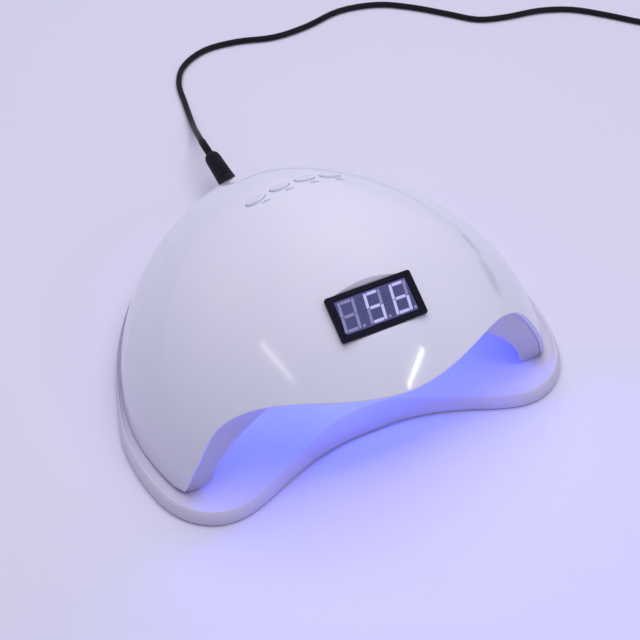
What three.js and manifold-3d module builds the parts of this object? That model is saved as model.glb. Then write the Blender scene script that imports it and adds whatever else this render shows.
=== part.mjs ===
// A table-top nail lamp: a domed white housing with a wave-shaped visor over an open hand
// space, a digit display in front, four timer buttons behind the crown, a lift-off tray
// below, and a black low-voltage lead that ends at a plug-in adapter.
//
// Millimetres, +Z up, the open side faces -Y. The origin lies on the table under the
// middle of the lamp, with the lead left out of account.

import * as THREE from 'three';
import { mergeVertices } from 'three/addons/utils/BufferGeometryUtils.js';
import Module from 'manifold-3d';

const wasm = await Module();
wasm.setup();

// The gap kept between pieces that touch on the real lamp, how far a joined detail sinks
// into its carrier, and how far a cutting tool runs past what it cuts.
const gap = 0.3;
const sink = 0.4;
const overrun = 6;

// Corners nearer to each other than this are one corner.
const weld = 0.0001;

// The outer dome: half width, reach to the front and the back of its own middle, place of
// that middle, lower edge, crown, wall, and the squareness of plan and upright section.
const dome = {
  side: 106, front: 113, back: 125, centreY: -25.75, edge: 6.5, crown: 102, wall: 2.4,
  frontPower: 1.9, backPower: 1.8, risePower: 1.65, turns: 68, rings: 11,
};

// The reflector under it is a like form, set in from the dome on each side. Its rim
// reaches out to the covers and carries the screws and the holding magnets.
const mirror = {
  sideIn: 13.5, frontIn: 13, backIn: 18, crownIn: 30, wall: 1.8, rim: 3, risePower: 1.7,
  turns: 36, rings: 6, cheek: 1.6,
};

// The visor's wave seen from the front, from the middle to the corner: shares of the
// dome's half width and of its height above the lower edge.
const visor = {
  cheekAt: 41.5, cutTo: 30, steps: 44,
  acrossShares: [0, 0.15, 0.3, 0.434, 0.53, 0.604, 0.68, 0.735, 0.78, 0.83, 0.887, 0.915, 0.93],
  heightShares: [0.645, 0.646, 0.64, 0.62, 0.588, 0.55, 0.492, 0.435, 0.372, 0.277, 0.14, 0.03, -0.12],
};

// The seam between the front and the rear cover leans back as it rises.
const seam = { footY: -15, lean: 1.05 };

// The tray: its margin round the dome in front and behind, heights of its underside, floor
// and rim, how far in the rim's crest and its inner foot lie where the margin is full, and
// the wider ramp in the middle of the front.
const tray = {
  margin: 7.5, rearMargin: 3, under: 1, floor: 5, crest: 8.5, crestIn: 4.2, innerFoot: 6.8,
  bevel: 1, hollow: 1.6, hollowIn: 12, rampIn: 7, rampHalf: 46, hub: 30, rib: 3,
  steps: 56, roundSteps: 14,
  // Bearings between which the margin narrows, in degrees from +X towards +Y.
  narrowBearings: [-8, 16],
  // Front edge from the middle to where the round begins: shares of the tray's half
  // width, across and in front of the dome's middle.
  acrossShares: [0, 0.14, 0.28, 0.42, 0.56, 0.65, 0.73, 0.8, 0.875, 0.93, 0.97, 0.995],
  reachShares: [0.357, 0.363, 0.393, 0.4445, 0.508, 0.535, 0.53, 0.503, 0.443, 0.359, 0.2445, 0.108],
  // Shares of the ramp that the rim's outer flank and shoulder take, and the cross ribs'
  // places behind the dome's middle as shares of its reach to the back.
  flankShare: 0.25, shoulderShare: 0.7, ribShares: [-0.18, 0.42],
};

// Rubber feet under the tray and the spots where they stand: across as shares of the
// dome's half width, forward as shares of the tray's half width, or backward (below zero)
// as shares of the dome's reach to the back.
const foot = { radius: 6, inset: 1.2, pad: 2, sides: 16 };
const footShares = [
  ['foot_front_left', -0.74, 0.418], ['foot_front_right', 0.74, 0.418],
  ['foot_rear_left', -0.62, -0.54], ['foot_rear_right', 0.62, -0.54],
  ['foot_rear_middle', 0, -0.813],
];

// Four pairs of magnets hold the housing on the tray, four screws hold the covers. Their
// bearings are in degrees round the dome's middle, from +X towards +Y.
const magnet = { radius: 3, thick: 1.5, clear: 0.3, wall: 1.4, sides: 12, bearings: [-6, 55, 125, 186] };
const magnetNames = ['right', 'rear_right', 'rear_left', 'left'];
const screw = { shank: 1.2, head: 2.4, headTall: 1.2, long: 14, boss: 3.1, bearings: [-15, 32, 148, 195] };
const screwNames = ['front_right', 'rear_right', 'rear_left', 'front_left'];

// Lamps poke through the reflector: two curved strips round the walls and a roof plate.
const bead = { radius: 2.5, tip: 1.7, clear: 0.5, poke: 1.1, sides: 6 };
const strip = { thick: 1.2, wide: 9, bearings: [-8, 188] };
// Each strip's height as a share of the reflector's, and how many lamps it has.
const stripRows = [['low', 0.313, 11], ['high', 0.634, 9]];
const roof = { radius: 34, thick: 1.2, ring: 24, count: 6 };
const sensor = { radius: 2.2, forward: 36.5, flange: 3.2, flangeTall: 1.2, lift: 0.9 };

// The display stands on a flat cut in the dome's front slope.
const display = {
  wide: 42.1, high: 21.5, forward: 41.7, sunk: 2.2, sideBar: 3.2, endBar: 2.5, thick: 1.6,
  margin: 0.6, corner: 0.8, lensSunk: 0.25, moduleWide: 37.7, moduleHigh: 18.4, moduleDeep: 7,
  backing: 2, edge: 4, post: 1.8, postOut: 2.2,
  boardThick: 1.6,
};

// Four oval buttons in a row behind the crown, their travel, and the switches below.
const button = {
  pitch: 13, wide: 10, deep: 7.6, behind: 46, proud: 0.5, travel: 0.6, flange: 0.9,
  flangeTall: 0.8, stemEnd: 9.8, sides: 16, post: 2,
};
const buttonNames = ['10s', '30s', '60s', '99s'];
const touch = { size: 6, tall: 3.4, plunger: 1.6, plungerTall: 1.1 };
const board = { wide: 60, deep: 14, thick: 1.6, corner: 1.5 };
const mainBoard = {
  wide: 60, deep: 36, thick: 1.6, lift: 3, back: 1, spacer: 2, inset: 9, chip: 9, chipTall: 2,
  tank: 4, tankTall: 8, tankOut: 15, sides: 14,
};

// The low-voltage socket in the rear cover and the plug in it.
const jack = { wide: 10, high: 10, deep: 8, height: 19, nose: 4.4, bore: 3.1, clear: 0.4, floor: 1.5 };
const plug = {
  barrel: 2.7, barrelLong: 8, base: 5.8, baseLong: 11, tip: 3.6, tipLong: 21, sides: 14, bevel: 0.8,
};

// The lead: thickness, then hand-chosen points from the plug's end to the coil.
const lead = {
  thick: 3.5, steps: 54, sides: 8,
  route: [
    [0, 133, 18.95], [0.3, 140.5, 18.1], [2.5, 155, 12.6], [5.5, 171, 6], [8.5, 186, 2.6], [10.8, 199, 1.95],
    [14.3, 216.8, 1.9], [23.5, 231.3, 1.9], [40.9, 240.1, 1.9], [62.3, 239.4, 1.9], [85.6, 233.3, 1.9],
    [108.7, 234.4, 1.9], [134.4, 239.9, 1.9], [159.4, 235.3, 1.9], [178.4, 222.9, 1.9], [195.4, 207, 1.9],
    [210.1, 193.1, 1.9], [228, 187.4, 1.9], [250.1, 184, 1.9], [269.6, 175.8, 1.9], [286, 161.7, 1.9],
    [303, 144.5, 1.9], [320, 130.8, 2.2],
  ],
};

// The rest of the lead lies in a coil of two layers that spiral in and out again.
const coil = {
  middle: 19.3, pitch: 4.15, loops: 3, layerGap: 0.55, lift: 0.9, steps: 24, sides: 6,
  startX: 340, startY: 117, heading: -34, tieWide: 4, tieThick: 0.6,
};

// The plug-in adapter at the far end lies on its back, pins towards the lamp's front.
const adapter = {
  wide: 44, long: 70, tall: 30, corner: 4, capLong: 12, step: 1.2, away: 30, pin: 2, pinLong: 18,
  pinPitch: 19, pinRoot: 2.6, pinRootLong: 7, relief: 4.4, reliefTip: 2.7, reliefLong: 15, sides: 16,
};

const white = new THREE.MeshStandardMaterial({ color: 0xf1f0f6, roughness: 0.16, metalness: 0 });
const satinWhite = new THREE.MeshStandardMaterial({ color: 0xe6e4ea, roughness: 0.42, metalness: 0 });
const silvered = new THREE.MeshStandardMaterial({ color: 0xb9b4c4, roughness: 0.25, metalness: 0.6 });
const rubber = new THREE.MeshStandardMaterial({ color: 0x24242a, roughness: 0.85, metalness: 0 });
const blackPlastic = new THREE.MeshStandardMaterial({ color: 0x111114, roughness: 0.4, metalness: 0 });
const smoked = new THREE.MeshStandardMaterial({ color: 0x2a2a48, roughness: 0.08, metalness: 0 });
const boardGreen = new THREE.MeshStandardMaterial({ color: 0x2c6b47, roughness: 0.5, metalness: 0 });
const stripWhite = new THREE.MeshStandardMaterial({ color: 0xdfe3ea, roughness: 0.5, metalness: 0 });
const steel = new THREE.MeshStandardMaterial({ color: 0xb8bbc2, roughness: 0.3, metalness: 1 });

const lamp = new THREE.Group();
const radians = THREE.MathUtils.degToRad;
const across = new THREE.Vector3(1, 0, 0);
const down = new THREE.Vector3(0, 0, -1);

// A closed geometry turned into a solid that can be joined and cut. Faces that have
// shrunk to a line go, and the winding is turned so that all faces point out.
function solidOf(geometry) {
  const bare = geometry.clone();
  bare.deleteAttribute('normal');
  bare.deleteAttribute('uv');
  const merged = mergeVertices(bare, weld);
  const spots = merged.attributes.position;
  const corners = [];
  let volume = 0;
  const a = new THREE.Vector3();
  const b = new THREE.Vector3();
  const c = new THREE.Vector3();
  for (let i = 0; i < merged.index.count; i += 3) {
    const [p, q, r] = [0, 1, 2].map((k) => merged.index.getX(i + k));
    if (p === q || q === r || r === p) continue;
    corners.push([p, q, r]);
    a.fromBufferAttribute(spots, p);
    b.fromBufferAttribute(spots, q);
    c.fromBufferAttribute(spots, r);
    volume += a.dot(b.cross(c));
  }
  const triVerts = new Uint32Array(corners.flatMap(([p, q, r]) => (volume < 0 ? [p, r, q] : [p, q, r])));
  const vertProperties = new Float32Array(spots.array);
  return new wasm.Manifold(new wasm.Mesh({ numProp: 3, vertProperties, triVerts }));
}

// Puts a solid, or a plain geometry, into the lamp under its node name.
function addNode(name, shape, material) {
  const solid = shape.isBufferGeometry ? solidOf(shape) : shape;
  const mesh = solid.getMesh();
  const geometry = new THREE.BufferGeometry();
  geometry.setAttribute('position', new THREE.BufferAttribute(mesh.vertProperties, 3));
  geometry.setIndex(new THREE.BufferAttribute(mesh.triVerts, 1));
  geometry.computeVertexNormals();
  const node = new THREE.Mesh(geometry, material);
  node.name = name;
  lamp.add(node);
}

// Turns a geometry so that its own +Z runs along a direction, and moves it to a place.
function placed(geometry, place, along = new THREE.Vector3(0, 0, 1), side = new THREE.Vector3(1, 0, 0)) {
  const up = along.clone().normalize();
  const right = side.clone().addScaledVector(up, -side.dot(up)).normalize();
  const frame = new THREE.Matrix4().makeBasis(right, up.clone().cross(right), up);
  return geometry.clone().applyMatrix4(frame.setPosition(place));
}

function rod(radius, from, to, sides) {
  const start = from.clone();
  const way = to.clone().sub(from);
  const round = new THREE.CylinderGeometry(radius, radius, way.length(), sides).rotateX(Math.PI / 2);
  return solidOf(placed(round, start.addScaledVector(way, 0.5), way));
}

function block(wide, deep, tall, place, along, side) {
  return solidOf(placed(new THREE.BoxGeometry(wide, deep, tall), place, along, side));
}

function ovalPrism(wide, deep, tall, sides, place, along) {
  const round = new THREE.CylinderGeometry(1, 1, tall, sides).rotateX(Math.PI / 2);
  return solidOf(placed(round.scale(wide / 2, deep / 2, 1), place, along));
}

// A box with rounded upright corners, standing on its own z = 0.
function roundedBlock(wide, deep, tall, corner) {
  const [x, y] = [wide / 2, deep / 2];
  const outline = new THREE.Shape();
  outline.moveTo(-x + corner, -y);
  outline.lineTo(x - corner, -y);
  outline.absarc(x - corner, -y + corner, corner, -Math.PI / 2, 0);
  outline.absarc(x - corner, y - corner, corner, 0, Math.PI / 2);
  outline.absarc(-x + corner, y - corner, corner, Math.PI / 2, Math.PI);
  outline.absarc(-x + corner, -y + corner, corner, Math.PI, 1.5 * Math.PI);
  return new THREE.ExtrudeGeometry(outline, { depth: tall, bevelEnabled: false, curveSegments: 3 });
}

// The dome family. Every dome-like surface is the same form with a growth in or out.
const domeOf = (growth) => ({
  side: dome.side + growth, front: dome.front + growth, back: dome.back + growth,
  crown: dome.crown + growth, risePower: dome.risePower,
});
const mirrorOf = (growth) => ({
  side: dome.side - mirror.sideIn + growth, front: dome.front - mirror.frontIn + growth,
  back: dome.back - mirror.backIn + growth, crown: dome.crown - mirror.crownIn + growth,
  risePower: mirror.risePower,
});
const mirrorFace = mirrorOf(0);
const mirrorBack = mirrorOf(mirror.wall);

function planRadius(form, angle) {
  const ahead = Math.sin(angle) < 0;
  const power = ahead ? dome.frontPower : dome.backPower;
  const across = Math.abs(Math.cos(angle) / form.side) ** power;
  const along = Math.abs(Math.sin(angle) / (ahead ? form.front : form.back)) ** power;
  return (across + along) ** (-1 / power);
}

function heightAt(form, x, y) {
  const out = Math.hypot(x, y - dome.centreY);
  const share = out / planRadius(form, Math.atan2(y - dome.centreY, x));
  const left = Math.max(0, 1 - share ** form.risePower);
  return dome.edge + (form.crown - dome.edge) * left ** (1 / form.risePower);
}

// The place on a surface at a bearing and height, and the way that the surface faces.
function spotAt(form, bearing, height) {
  const rise = (height - dome.edge) / (form.crown - dome.edge);
  const share = (1 - rise ** form.risePower) ** (1 / form.risePower);
  const out = planRadius(form, bearing) * share;
  return new THREE.Vector3(out * Math.cos(bearing), dome.centreY + out * Math.sin(bearing), height);
}
function facingAt(form, bearing, height) {
  const small = 0.002;
  const here = spotAt(form, bearing, height);
  const around = spotAt(form, bearing + small, height).sub(here);
  const up = spotAt(form, bearing, height * (1 + small)).sub(here);
  return around.cross(up).normalize();
}
function slopeAt(form, x, y) {
  const small = form.side * 0.002;
  const alongX = heightAt(form, x + small, y) - heightAt(form, x - small, y);
  const alongY = heightAt(form, x, y + small) - heightAt(form, x, y - small);
  return new THREE.Vector3(-alongX, -alongY, 2 * small).normalize();
}

// A solid dome: a quarter profile turned about the middle and drawn out to the plan.
function domeSolid(form, turns, rings, foot = dome.edge) {
  const profile = [new THREE.Vector2(0, foot), new THREE.Vector2(1, foot)];
  for (let i = foot < dome.edge ? 0 : 1; i <= rings; i += 1) {
    const swing = (i / rings) * (Math.PI / 2);
    const out = i === rings ? 0 : Math.cos(swing) ** (2 / form.risePower);
    const up = Math.sin(swing) ** (2 / form.risePower);
    profile.push(new THREE.Vector2(out, dome.edge + (form.crown - dome.edge) * up));
  }
  const shape = new THREE.LatheGeometry(profile, turns);
  const spots = shape.attributes.position;
  for (let i = 0; i < spots.count; i += 1) {
    const angle = (Math.floor(i / profile.length) % turns) * ((2 * Math.PI) / turns);
    const point = profile[i % profile.length];
    const out = planRadius(form, angle) * point.x;
    spots.setXYZ(i, out * Math.cos(angle), dome.centreY + out * Math.sin(angle), point.y);
  }
  return solidOf(shape);
}

// Everything between two heights, as wide as any piece of the lamp.
const allRound = 3 * (dome.side + tray.margin);
function layer(low, high) {
  return block(allRound, allRound, high - low, new THREE.Vector3(0, 0, (low + high) / 2));
}

// The opening below the visor: the wave, mirrored, drawn along Y.
function openingSolid() {
  const half = visor.acrossShares.map((share, i) => new THREE.Vector2(
    share * dome.side, dome.edge + visor.heightShares[i] * (dome.crown - dome.edge)));
  const wave = [...half.slice(1).reverse().map((p) => new THREE.Vector2(-p.x, p.y)), ...half];
  const foot = half.at(-1);
  const outline = new THREE.Shape([...new THREE.SplineCurve(wave).getPoints(visor.steps),
    new THREE.Vector2(foot.x, foot.y - overrun), new THREE.Vector2(-foot.x, foot.y - overrun)]);
  const reach = dome.front + overrun - visor.cutTo;
  const cut = new THREE.ExtrudeGeometry(outline, { depth: reach, bevelEnabled: false });
  return solidOf(cut.rotateX(Math.PI / 2).translate(0, dome.centreY - visor.cutTo, 0));
}

// All that lies behind the seam, whose plane passes through its foot and leans back.
function behindSeam(shift) {
  const out = new THREE.Vector3(0, 1, -seam.lean).normalize();
  const place = new THREE.Vector3(0, seam.footY, dome.edge).addScaledVector(out, allRound / 2 + shift);
  return block(allRound, allRound, allRound, place, out);
}

// The display's frame and the buttons' frame follow the dome's slope. Depths count
// inwards from its surface.
const dome0 = domeOf(0);
const displayY = dome.centreY - display.forward;
const displayUp = slopeAt(dome0, 0, displayY);
const displayRoot = new THREE.Vector3(0, displayY, heightAt(dome0, 0, displayY));
const onDisplay = (depth, x = 0) => displayRoot.clone().setX(x).addScaledVector(displayUp, -depth);
const displayPlate = (wide, high, thick, corner, depth) => solidOf(
  placed(roundedBlock(wide, high, thick, corner), onDisplay(depth + thick), displayUp));

const buttonY = dome.centreY + button.behind;
const buttonUp = slopeAt(dome0, 0, buttonY);
const buttonRoot = new THREE.Vector3(0, buttonY, heightAt(dome0, 0, buttonY));
const buttonX = buttonNames.map((name, i) => (i - (buttonNames.length - 1) / 2) * button.pitch);
const underButtons = (depth, x = 0) => buttonRoot.clone().setX(x).addScaledVector(buttonUp, -depth);
const buttonPrism = (grow, from, to, x) => ovalPrism(button.wide + grow, button.deep + grow, to - from,
  button.sides, underButtons((from + to) / 2, x), buttonUp);

// How deep the underside of the cover reaches anywhere round a button's flange.
function coverDepth(x) {
  const inner = domeOf(-dome.wall);
  const uphill = buttonUp.clone().cross(across);
  let deepest = 0;
  for (let i = 0; i < button.sides; i += 1) {
    const turn = (2 * Math.PI * i) / button.sides;
    const spot = underButtons(0, x + (button.wide / 2 + button.flange) * Math.cos(turn))
      .addScaledVector(uphill, (button.deep / 2 + button.flange) * Math.sin(turn));
    spot.z = heightAt(inner, spot.x, spot.y);
    deepest = Math.max(deepest, buttonRoot.clone().sub(spot).dot(buttonUp));
  }
  return deepest;
}

const touchDepth = button.stemEnd + button.travel + gap;
const boardDepth = touchDepth + touch.plungerTall + touch.tall + gap;
const postX = Math.max(...buttonX) + button.wide / 2 + button.flange + button.post + 2 * gap;

const displayBoardDepth = display.sunk + display.moduleDeep + gap;
const displayPostX = display.moduleWide / 2 + gap + display.postOut;

// Places round the rim, midway between the reflector's wall and the covers.
const rimLow = dome.edge;
const rimHigh = dome.edge + mirror.rim;
const rimGrowth = (mirror.sideIn - dome.wall + mirror.wall) / 2;
const rimSpot = (bearing, z) => spotAt(mirrorOf(rimGrowth), radians(bearing), dome.edge).setZ(z);
const bossTop = rimHigh + screw.long;

// The socket and the plug share one line through the rear cover.
const rearY = (form, z) => spotAt(form, Math.PI / 2, z).y;
const jackFace = rearY(domeOf(-dome.wall), jack.height + jack.high / 2) - 4 * gap;
const jackEnd = rearY(dome0, jack.height + jack.nose);
const plugFace = rearY(dome0, jack.height - plug.base) + gap;
const onJack = (y) => new THREE.Vector3(0, y, jack.height);

// The housing's shell, before it is parted into the two covers.
function housingShell() {
  const inner = domeSolid(domeOf(-dome.wall), mirror.turns, dome.rings, dome.edge - overrun);
  const skin = domeSolid(domeOf(-dome.wall / 2), mirror.turns, dome.rings);
  let fittings = displayPlate(display.wide + 2 * display.edge, display.high + 2 * display.edge,
    display.backing, display.edge, display.sunk);
  for (const side of [-1, 1]) {
    fittings = fittings.add(rod(display.post, onDisplay(display.sunk, side * displayPostX),
      onDisplay(displayBoardDepth - gap, side * displayPostX), 12));
    fittings = fittings.add(rod(button.post, underButtons(0, side * postX),
      underButtons(boardDepth - gap, side * postX), 12));
  }
  for (const bearing of screw.bearings) {
    const low = rimSpot(bearing, rimHigh + gap);
    const radial = low.clone().sub(new THREE.Vector3(0, dome.centreY, low.z)).normalize();
    fittings = fittings.add(rod(screw.boss, low, rimSpot(bearing, bossTop), 10));
    fittings = fittings.add(block(screw.boss * 3, screw.boss, bossTop - low.z,
      rimSpot(bearing, (bossTop + low.z) / 2).addScaledVector(radial, screw.boss * 1.5), undefined, radial));
  }
  let shell = domeSolid(dome0, dome.turns, dome.rings).subtract(inner).add(fittings.intersect(skin));
  shell = shell.subtract(openingSolid());
  shell = shell.subtract(displayPlate(display.wide + 2 * display.margin, display.high + 2 * display.margin,
    dome.wall + overrun, display.corner + display.margin, display.sunk - dome.wall - overrun));
  shell = shell.subtract(displayPlate(display.moduleWide + 2 * gap, display.moduleHigh + 2 * gap,
    2 * overrun, display.corner, display.sunk - overrun));
  for (const x of buttonX) shell = shell.subtract(buttonPrism(2 * gap, -overrun, 2 * overrun, x));
  shell = shell.subtract(
    rod(jack.nose + jack.clear, onJack(jackEnd - 2 * overrun), onJack(jackEnd + 2 * overrun), 20));
  for (const bearing of screw.bearings) {
    shell = shell.subtract(
      rod(screw.shank + gap, rimSpot(bearing, 0), rimSpot(bearing, bossTop - screw.shank), 8));
  }
  return shell;
}
const shell = housingShell();
addNode('front_cover', shell.subtract(behindSeam(-gap / 2)), white);
addNode('rear_cover', shell.intersect(behindSeam(gap / 2)), white);

// The reflector: a thin dome with a rim below it and cheeks at both sides of the opening.
const cheekY = dome.centreY - visor.cheekAt;
const cheeks = block(allRound, mirror.cheek, mirrorFace.crown - rimLow,
  new THREE.Vector3(0, cheekY + mirror.cheek / 2, (mirrorFace.crown + rimLow) / 2));
const insideCovers = domeSolid(domeOf(-dome.wall - gap), mirror.turns, dome.rings);
let reflector = domeSolid(mirrorBack, mirror.turns, mirror.rings)
  .add(layer(rimLow, rimHigh).add(cheeks).intersect(insideCovers))
  .subtract(domeSolid(mirrorFace, mirror.turns, mirror.rings, dome.edge - overrun))
  .subtract(block(allRound, allRound, allRound, new THREE.Vector3(0, cheekY - allRound / 2, 0)));

// One lamp: a short round body with a blunt tip, from its board towards the hand space.
function beadSolid(root, tip) {
  const long = root.distanceTo(tip);
  const profile = [[0, 0], [bead.radius, 0], [bead.radius, long - bead.poke], [bead.tip, long], [0, long]];
  const body = new THREE.LatheGeometry(profile.map(([x, y]) => new THREE.Vector2(x, y)), bead.sides);
  return solidOf(placed(body.rotateX(Math.PI / 2), root, tip.clone().sub(root)));
}
function beadHole(face, inward) {
  return rod(bead.radius + bead.clear, face.clone().addScaledVector(inward, overrun / 2),
    face.clone().addScaledVector(inward, -overrun / 2), bead.sides);
}

// Two curved strips behind the reflector's wall, each with a row of lamps.
const [stripStart, stripEnd] = strip.bearings.map(radians);
for (const [row, heightShare, count] of stripRows) {
  const z = dome.edge + heightShare * (mirrorFace.crown - dome.edge);
  const endY = dome.centreY + Math.sin(stripStart) * mirrorFace.side - 2 * bead.radius;
  let band = domeSolid(mirrorOf(mirror.wall + gap + strip.thick), mirror.turns, mirror.rings)
    .subtract(domeSolid(mirrorOf(mirror.wall + gap), mirror.turns, mirror.rings, dome.edge - overrun))
    .intersect(layer(z - strip.wide / 2, z + strip.wide / 2))
    .subtract(block(allRound, allRound, allRound, new THREE.Vector3(0, endY - allRound / 2, 0)));
  for (let i = 0; i < count; i += 1) {
    const bearing = stripStart + ((stripEnd - stripStart) * i) / (count - 1);
    const inward = facingAt(mirrorFace, bearing, z).negate();
    const face = spotAt(mirrorFace, bearing, z);
    const root = face.clone().addScaledVector(inward, -(mirror.wall + gap + strip.thick / 2));
    reflector = reflector.subtract(beadHole(face, inward));
    band = band.add(beadSolid(root, face.clone().addScaledVector(inward, bead.poke)));
  }
  addNode(`led_strip_${row}`, band, stripWhite);
}

// A round plate above the roof with a ring of lamps and one in the middle.
const roofZ = mirrorBack.crown + gap;
const roofTop = roofZ + roof.thick;
const overRoof = (x, y, z) => new THREE.Vector3(x, dome.centreY + y, z);
let roofPlate = rod(roof.radius, overRoof(0, 0, roofZ), overRoof(0, 0, roofTop), 24);
for (let i = 0; i <= roof.count; i += 1) {
  const ring = i < roof.count ? roof.ring : 0;
  const turn = (2 * Math.PI * (i + 0.5)) / roof.count;
  const face = overRoof(ring * Math.cos(turn), ring * Math.sin(turn), 0);
  face.z = heightAt(mirrorFace, face.x, face.y);
  reflector = reflector.subtract(beadHole(face, down));
  const root = face.clone().setZ(roofZ + roof.thick / 2);
  roofPlate = roofPlate.add(beadSolid(root, face.addScaledVector(down, bead.poke)));
}
addNode('led_roof_plate', roofPlate, stripWhite);

// A dark round eye in the front of the roof sees the hand.
const eyeY = dome.centreY - sensor.forward;
const eyeLow = heightAt(mirrorFace, 0, eyeY) - gap;
const eyeSeat = heightAt(mirrorBack, 0, eyeY) + sensor.lift;
const eye = (z) => new THREE.Vector3(0, eyeY, z);
reflector = reflector.subtract(rod(sensor.radius + gap, eye(eyeLow - overrun), eye(eyeSeat + overrun), 16));
addNode('hand_sensor', rod(sensor.radius, eye(eyeLow), eye(eyeSeat + sink), 16)
  .add(rod(sensor.flange, eye(eyeSeat), eye(eyeSeat + sensor.flangeTall), 16)), smoked);

// Screws go up through the rim into the covers' bosses. Magnets sit in the rim from below.
screw.bearings.forEach((bearing, i) => {
  const z = (height) => rimSpot(bearing, height);
  const headTop = rimLow + gap / 2 + screw.headTall;
  reflector = reflector
    .subtract(rod(screw.head + gap, z(rimLow - overrun), z(headTop + gap), 12))
    .subtract(rod(screw.shank + gap, z(rimLow), z(rimHigh + overrun), 8));
  addNode(`cover_screw_${screwNames[i]}`, rod(screw.head, z(rimLow + gap / 2), z(headTop), 12)
    .add(rod(screw.shank, z(headTop - sink), z(bossTop - screw.shank - gap), 8)), steel);
});
magnet.bearings.forEach((bearing, i) => {
  const z = (height) => rimSpot(bearing, height);
  const top = rimLow + gap / 2 + magnet.thick;
  reflector = reflector.subtract(
    rod(magnet.radius + magnet.clear, z(rimLow - overrun), z(top + magnet.clear), magnet.sides));
  addNode(`housing_magnet_${magnetNames[i]}`,
    rod(magnet.radius, z(rimLow + gap / 2), z(top), magnet.sides), steel);
});
addNode('reflector', reflector, silvered);

// The display: a frame in the recess, a smoked lens flush in it, the digit block behind
// and the small board that carries it.
const frameDepth = display.sunk - gap - display.thick;
const lensWide = display.wide - 2 * display.sideBar;
const lensHigh = display.high - 2 * display.endBar;
const frameWindow = displayPlate(lensWide, lensHigh, 3 * display.thick, display.corner / 2,
  frameDepth - display.thick);
addNode('display_frame', displayPlate(display.wide, display.high, display.thick, display.corner,
  frameDepth).subtract(frameWindow), blackPlastic);
addNode('display_lens', displayPlate(lensWide - 2 * gap, lensHigh - 2 * gap,
  display.thick - display.lensSunk, display.corner / 2, frameDepth + display.lensSunk), smoked);
addNode('digit_block', displayPlate(display.moduleWide, display.moduleHigh, display.moduleDeep - gap,
  display.corner / 2, display.sunk), blackPlastic);
addNode('display_board', displayPlate(display.wide + 2 * display.edge, display.high, display.boardThick,
  display.corner, displayBoardDepth), boardGreen);

// The four buttons: an oval stem whose top follows the dome, with a flange that keeps it
// below the cover. Each stands over its switch, and all switches share one board.
const buttonBoard = solidOf(placed(roundedBlock(board.wide, board.deep, board.thick, board.corner),
  underButtons(boardDepth + board.thick), buttonUp));
buttonX.forEach((x, i) => {
  const flangeTop = coverDepth(x) + 2 * gap;
  const cap = buttonPrism(0, -overrun, button.stemEnd, x)
    .intersect(domeSolid(domeOf(button.proud), dome.turns, dome.rings));
  addNode(`button_${buttonNames[i]}`, cap.add(
    buttonPrism(2 * button.flange, flangeTop, flangeTop + button.flangeTall, x)), white);
  const plunger = rod(touch.plunger, underButtons(touchDepth, x),
    underButtons(touchDepth + touch.plungerTall + sink, x), 12);
  addNode(`switch_${buttonNames[i]}`, block(touch.size, touch.size, touch.tall,
    underButtons(boardDepth - gap - touch.tall / 2, x), buttonUp).add(plunger), blackPlastic);
});
addNode('button_board', buttonBoard, boardGreen);

// The main board stands on four spacers over the roof plate.
const mainLow = roofTop + mainBoard.lift;
const mainTop = mainLow + mainBoard.thick;
let main = solidOf(roundedBlock(mainBoard.wide, mainBoard.deep, mainBoard.thick, board.corner)
  .translate(0, dome.centreY + mainBoard.back, mainLow));
const spacerX = mainBoard.wide / 2 - mainBoard.inset;
const spacerY = mainBoard.deep / 2 - mainBoard.inset;
for (const [x, y] of [[-1, -1], [1, -1], [1, 1], [-1, 1]]) {
  const at = (z) => overRoof(x * spacerX, y * spacerY, z);
  main = main.add(rod(mainBoard.spacer, at(roofTop + gap), at(mainLow + sink), 12));
}
main = main.add(block(mainBoard.chip, mainBoard.chip, mainBoard.chipTall,
  overRoof(0, 0, mainTop + mainBoard.chipTall / 2)));
for (const side of [-1, 1]) {
  const tankAt = (z) => overRoof(side * mainBoard.tankOut, 0, z);
  main = main.add(rod(mainBoard.tank, tankAt(mainTop - sink), tankAt(mainTop + mainBoard.tankTall),
    mainBoard.sides));
}
addNode('main_board', main, boardGreen);

// The low-voltage socket, and the plug in it: a metal barrel and a moulded boot.
const jackBody = block(jack.wide, jack.deep, jack.high, onJack(jackFace - jack.deep / 2))
  .add(rod(jack.nose, onJack(jackFace - sink), onJack(jackEnd), 20))
  .subtract(rod(jack.bore, onJack(jackFace - jack.deep + jack.floor), onJack(jackEnd + overrun), 20));
addNode('power_socket', jackBody, blackPlastic);
addNode('plug_barrel',
  rod(plug.barrel, onJack(plugFace - gap - plug.barrelLong), onJack(plugFace - gap), plug.sides), steel);
const bootLong = plug.baseLong + plug.tipLong;
const plugEnd = plugFace + bootLong;
const bootProfile = [
  [0, 0], [plug.base - plug.bevel, 0], [plug.base, plug.bevel], [plug.base, plug.baseLong],
  [plug.tip, bootLong - plug.bevel], [plug.tip - plug.bevel, bootLong], [0, bootLong],
].map(([x, y]) => new THREE.Vector2(x, y));
addNode('plug_boot', placed(new THREE.LatheGeometry(bootProfile, plug.sides).rotateX(Math.PI / 2),
  onJack(plugFace), new THREE.Vector3(0, 1, 0)), rubber);

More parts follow.
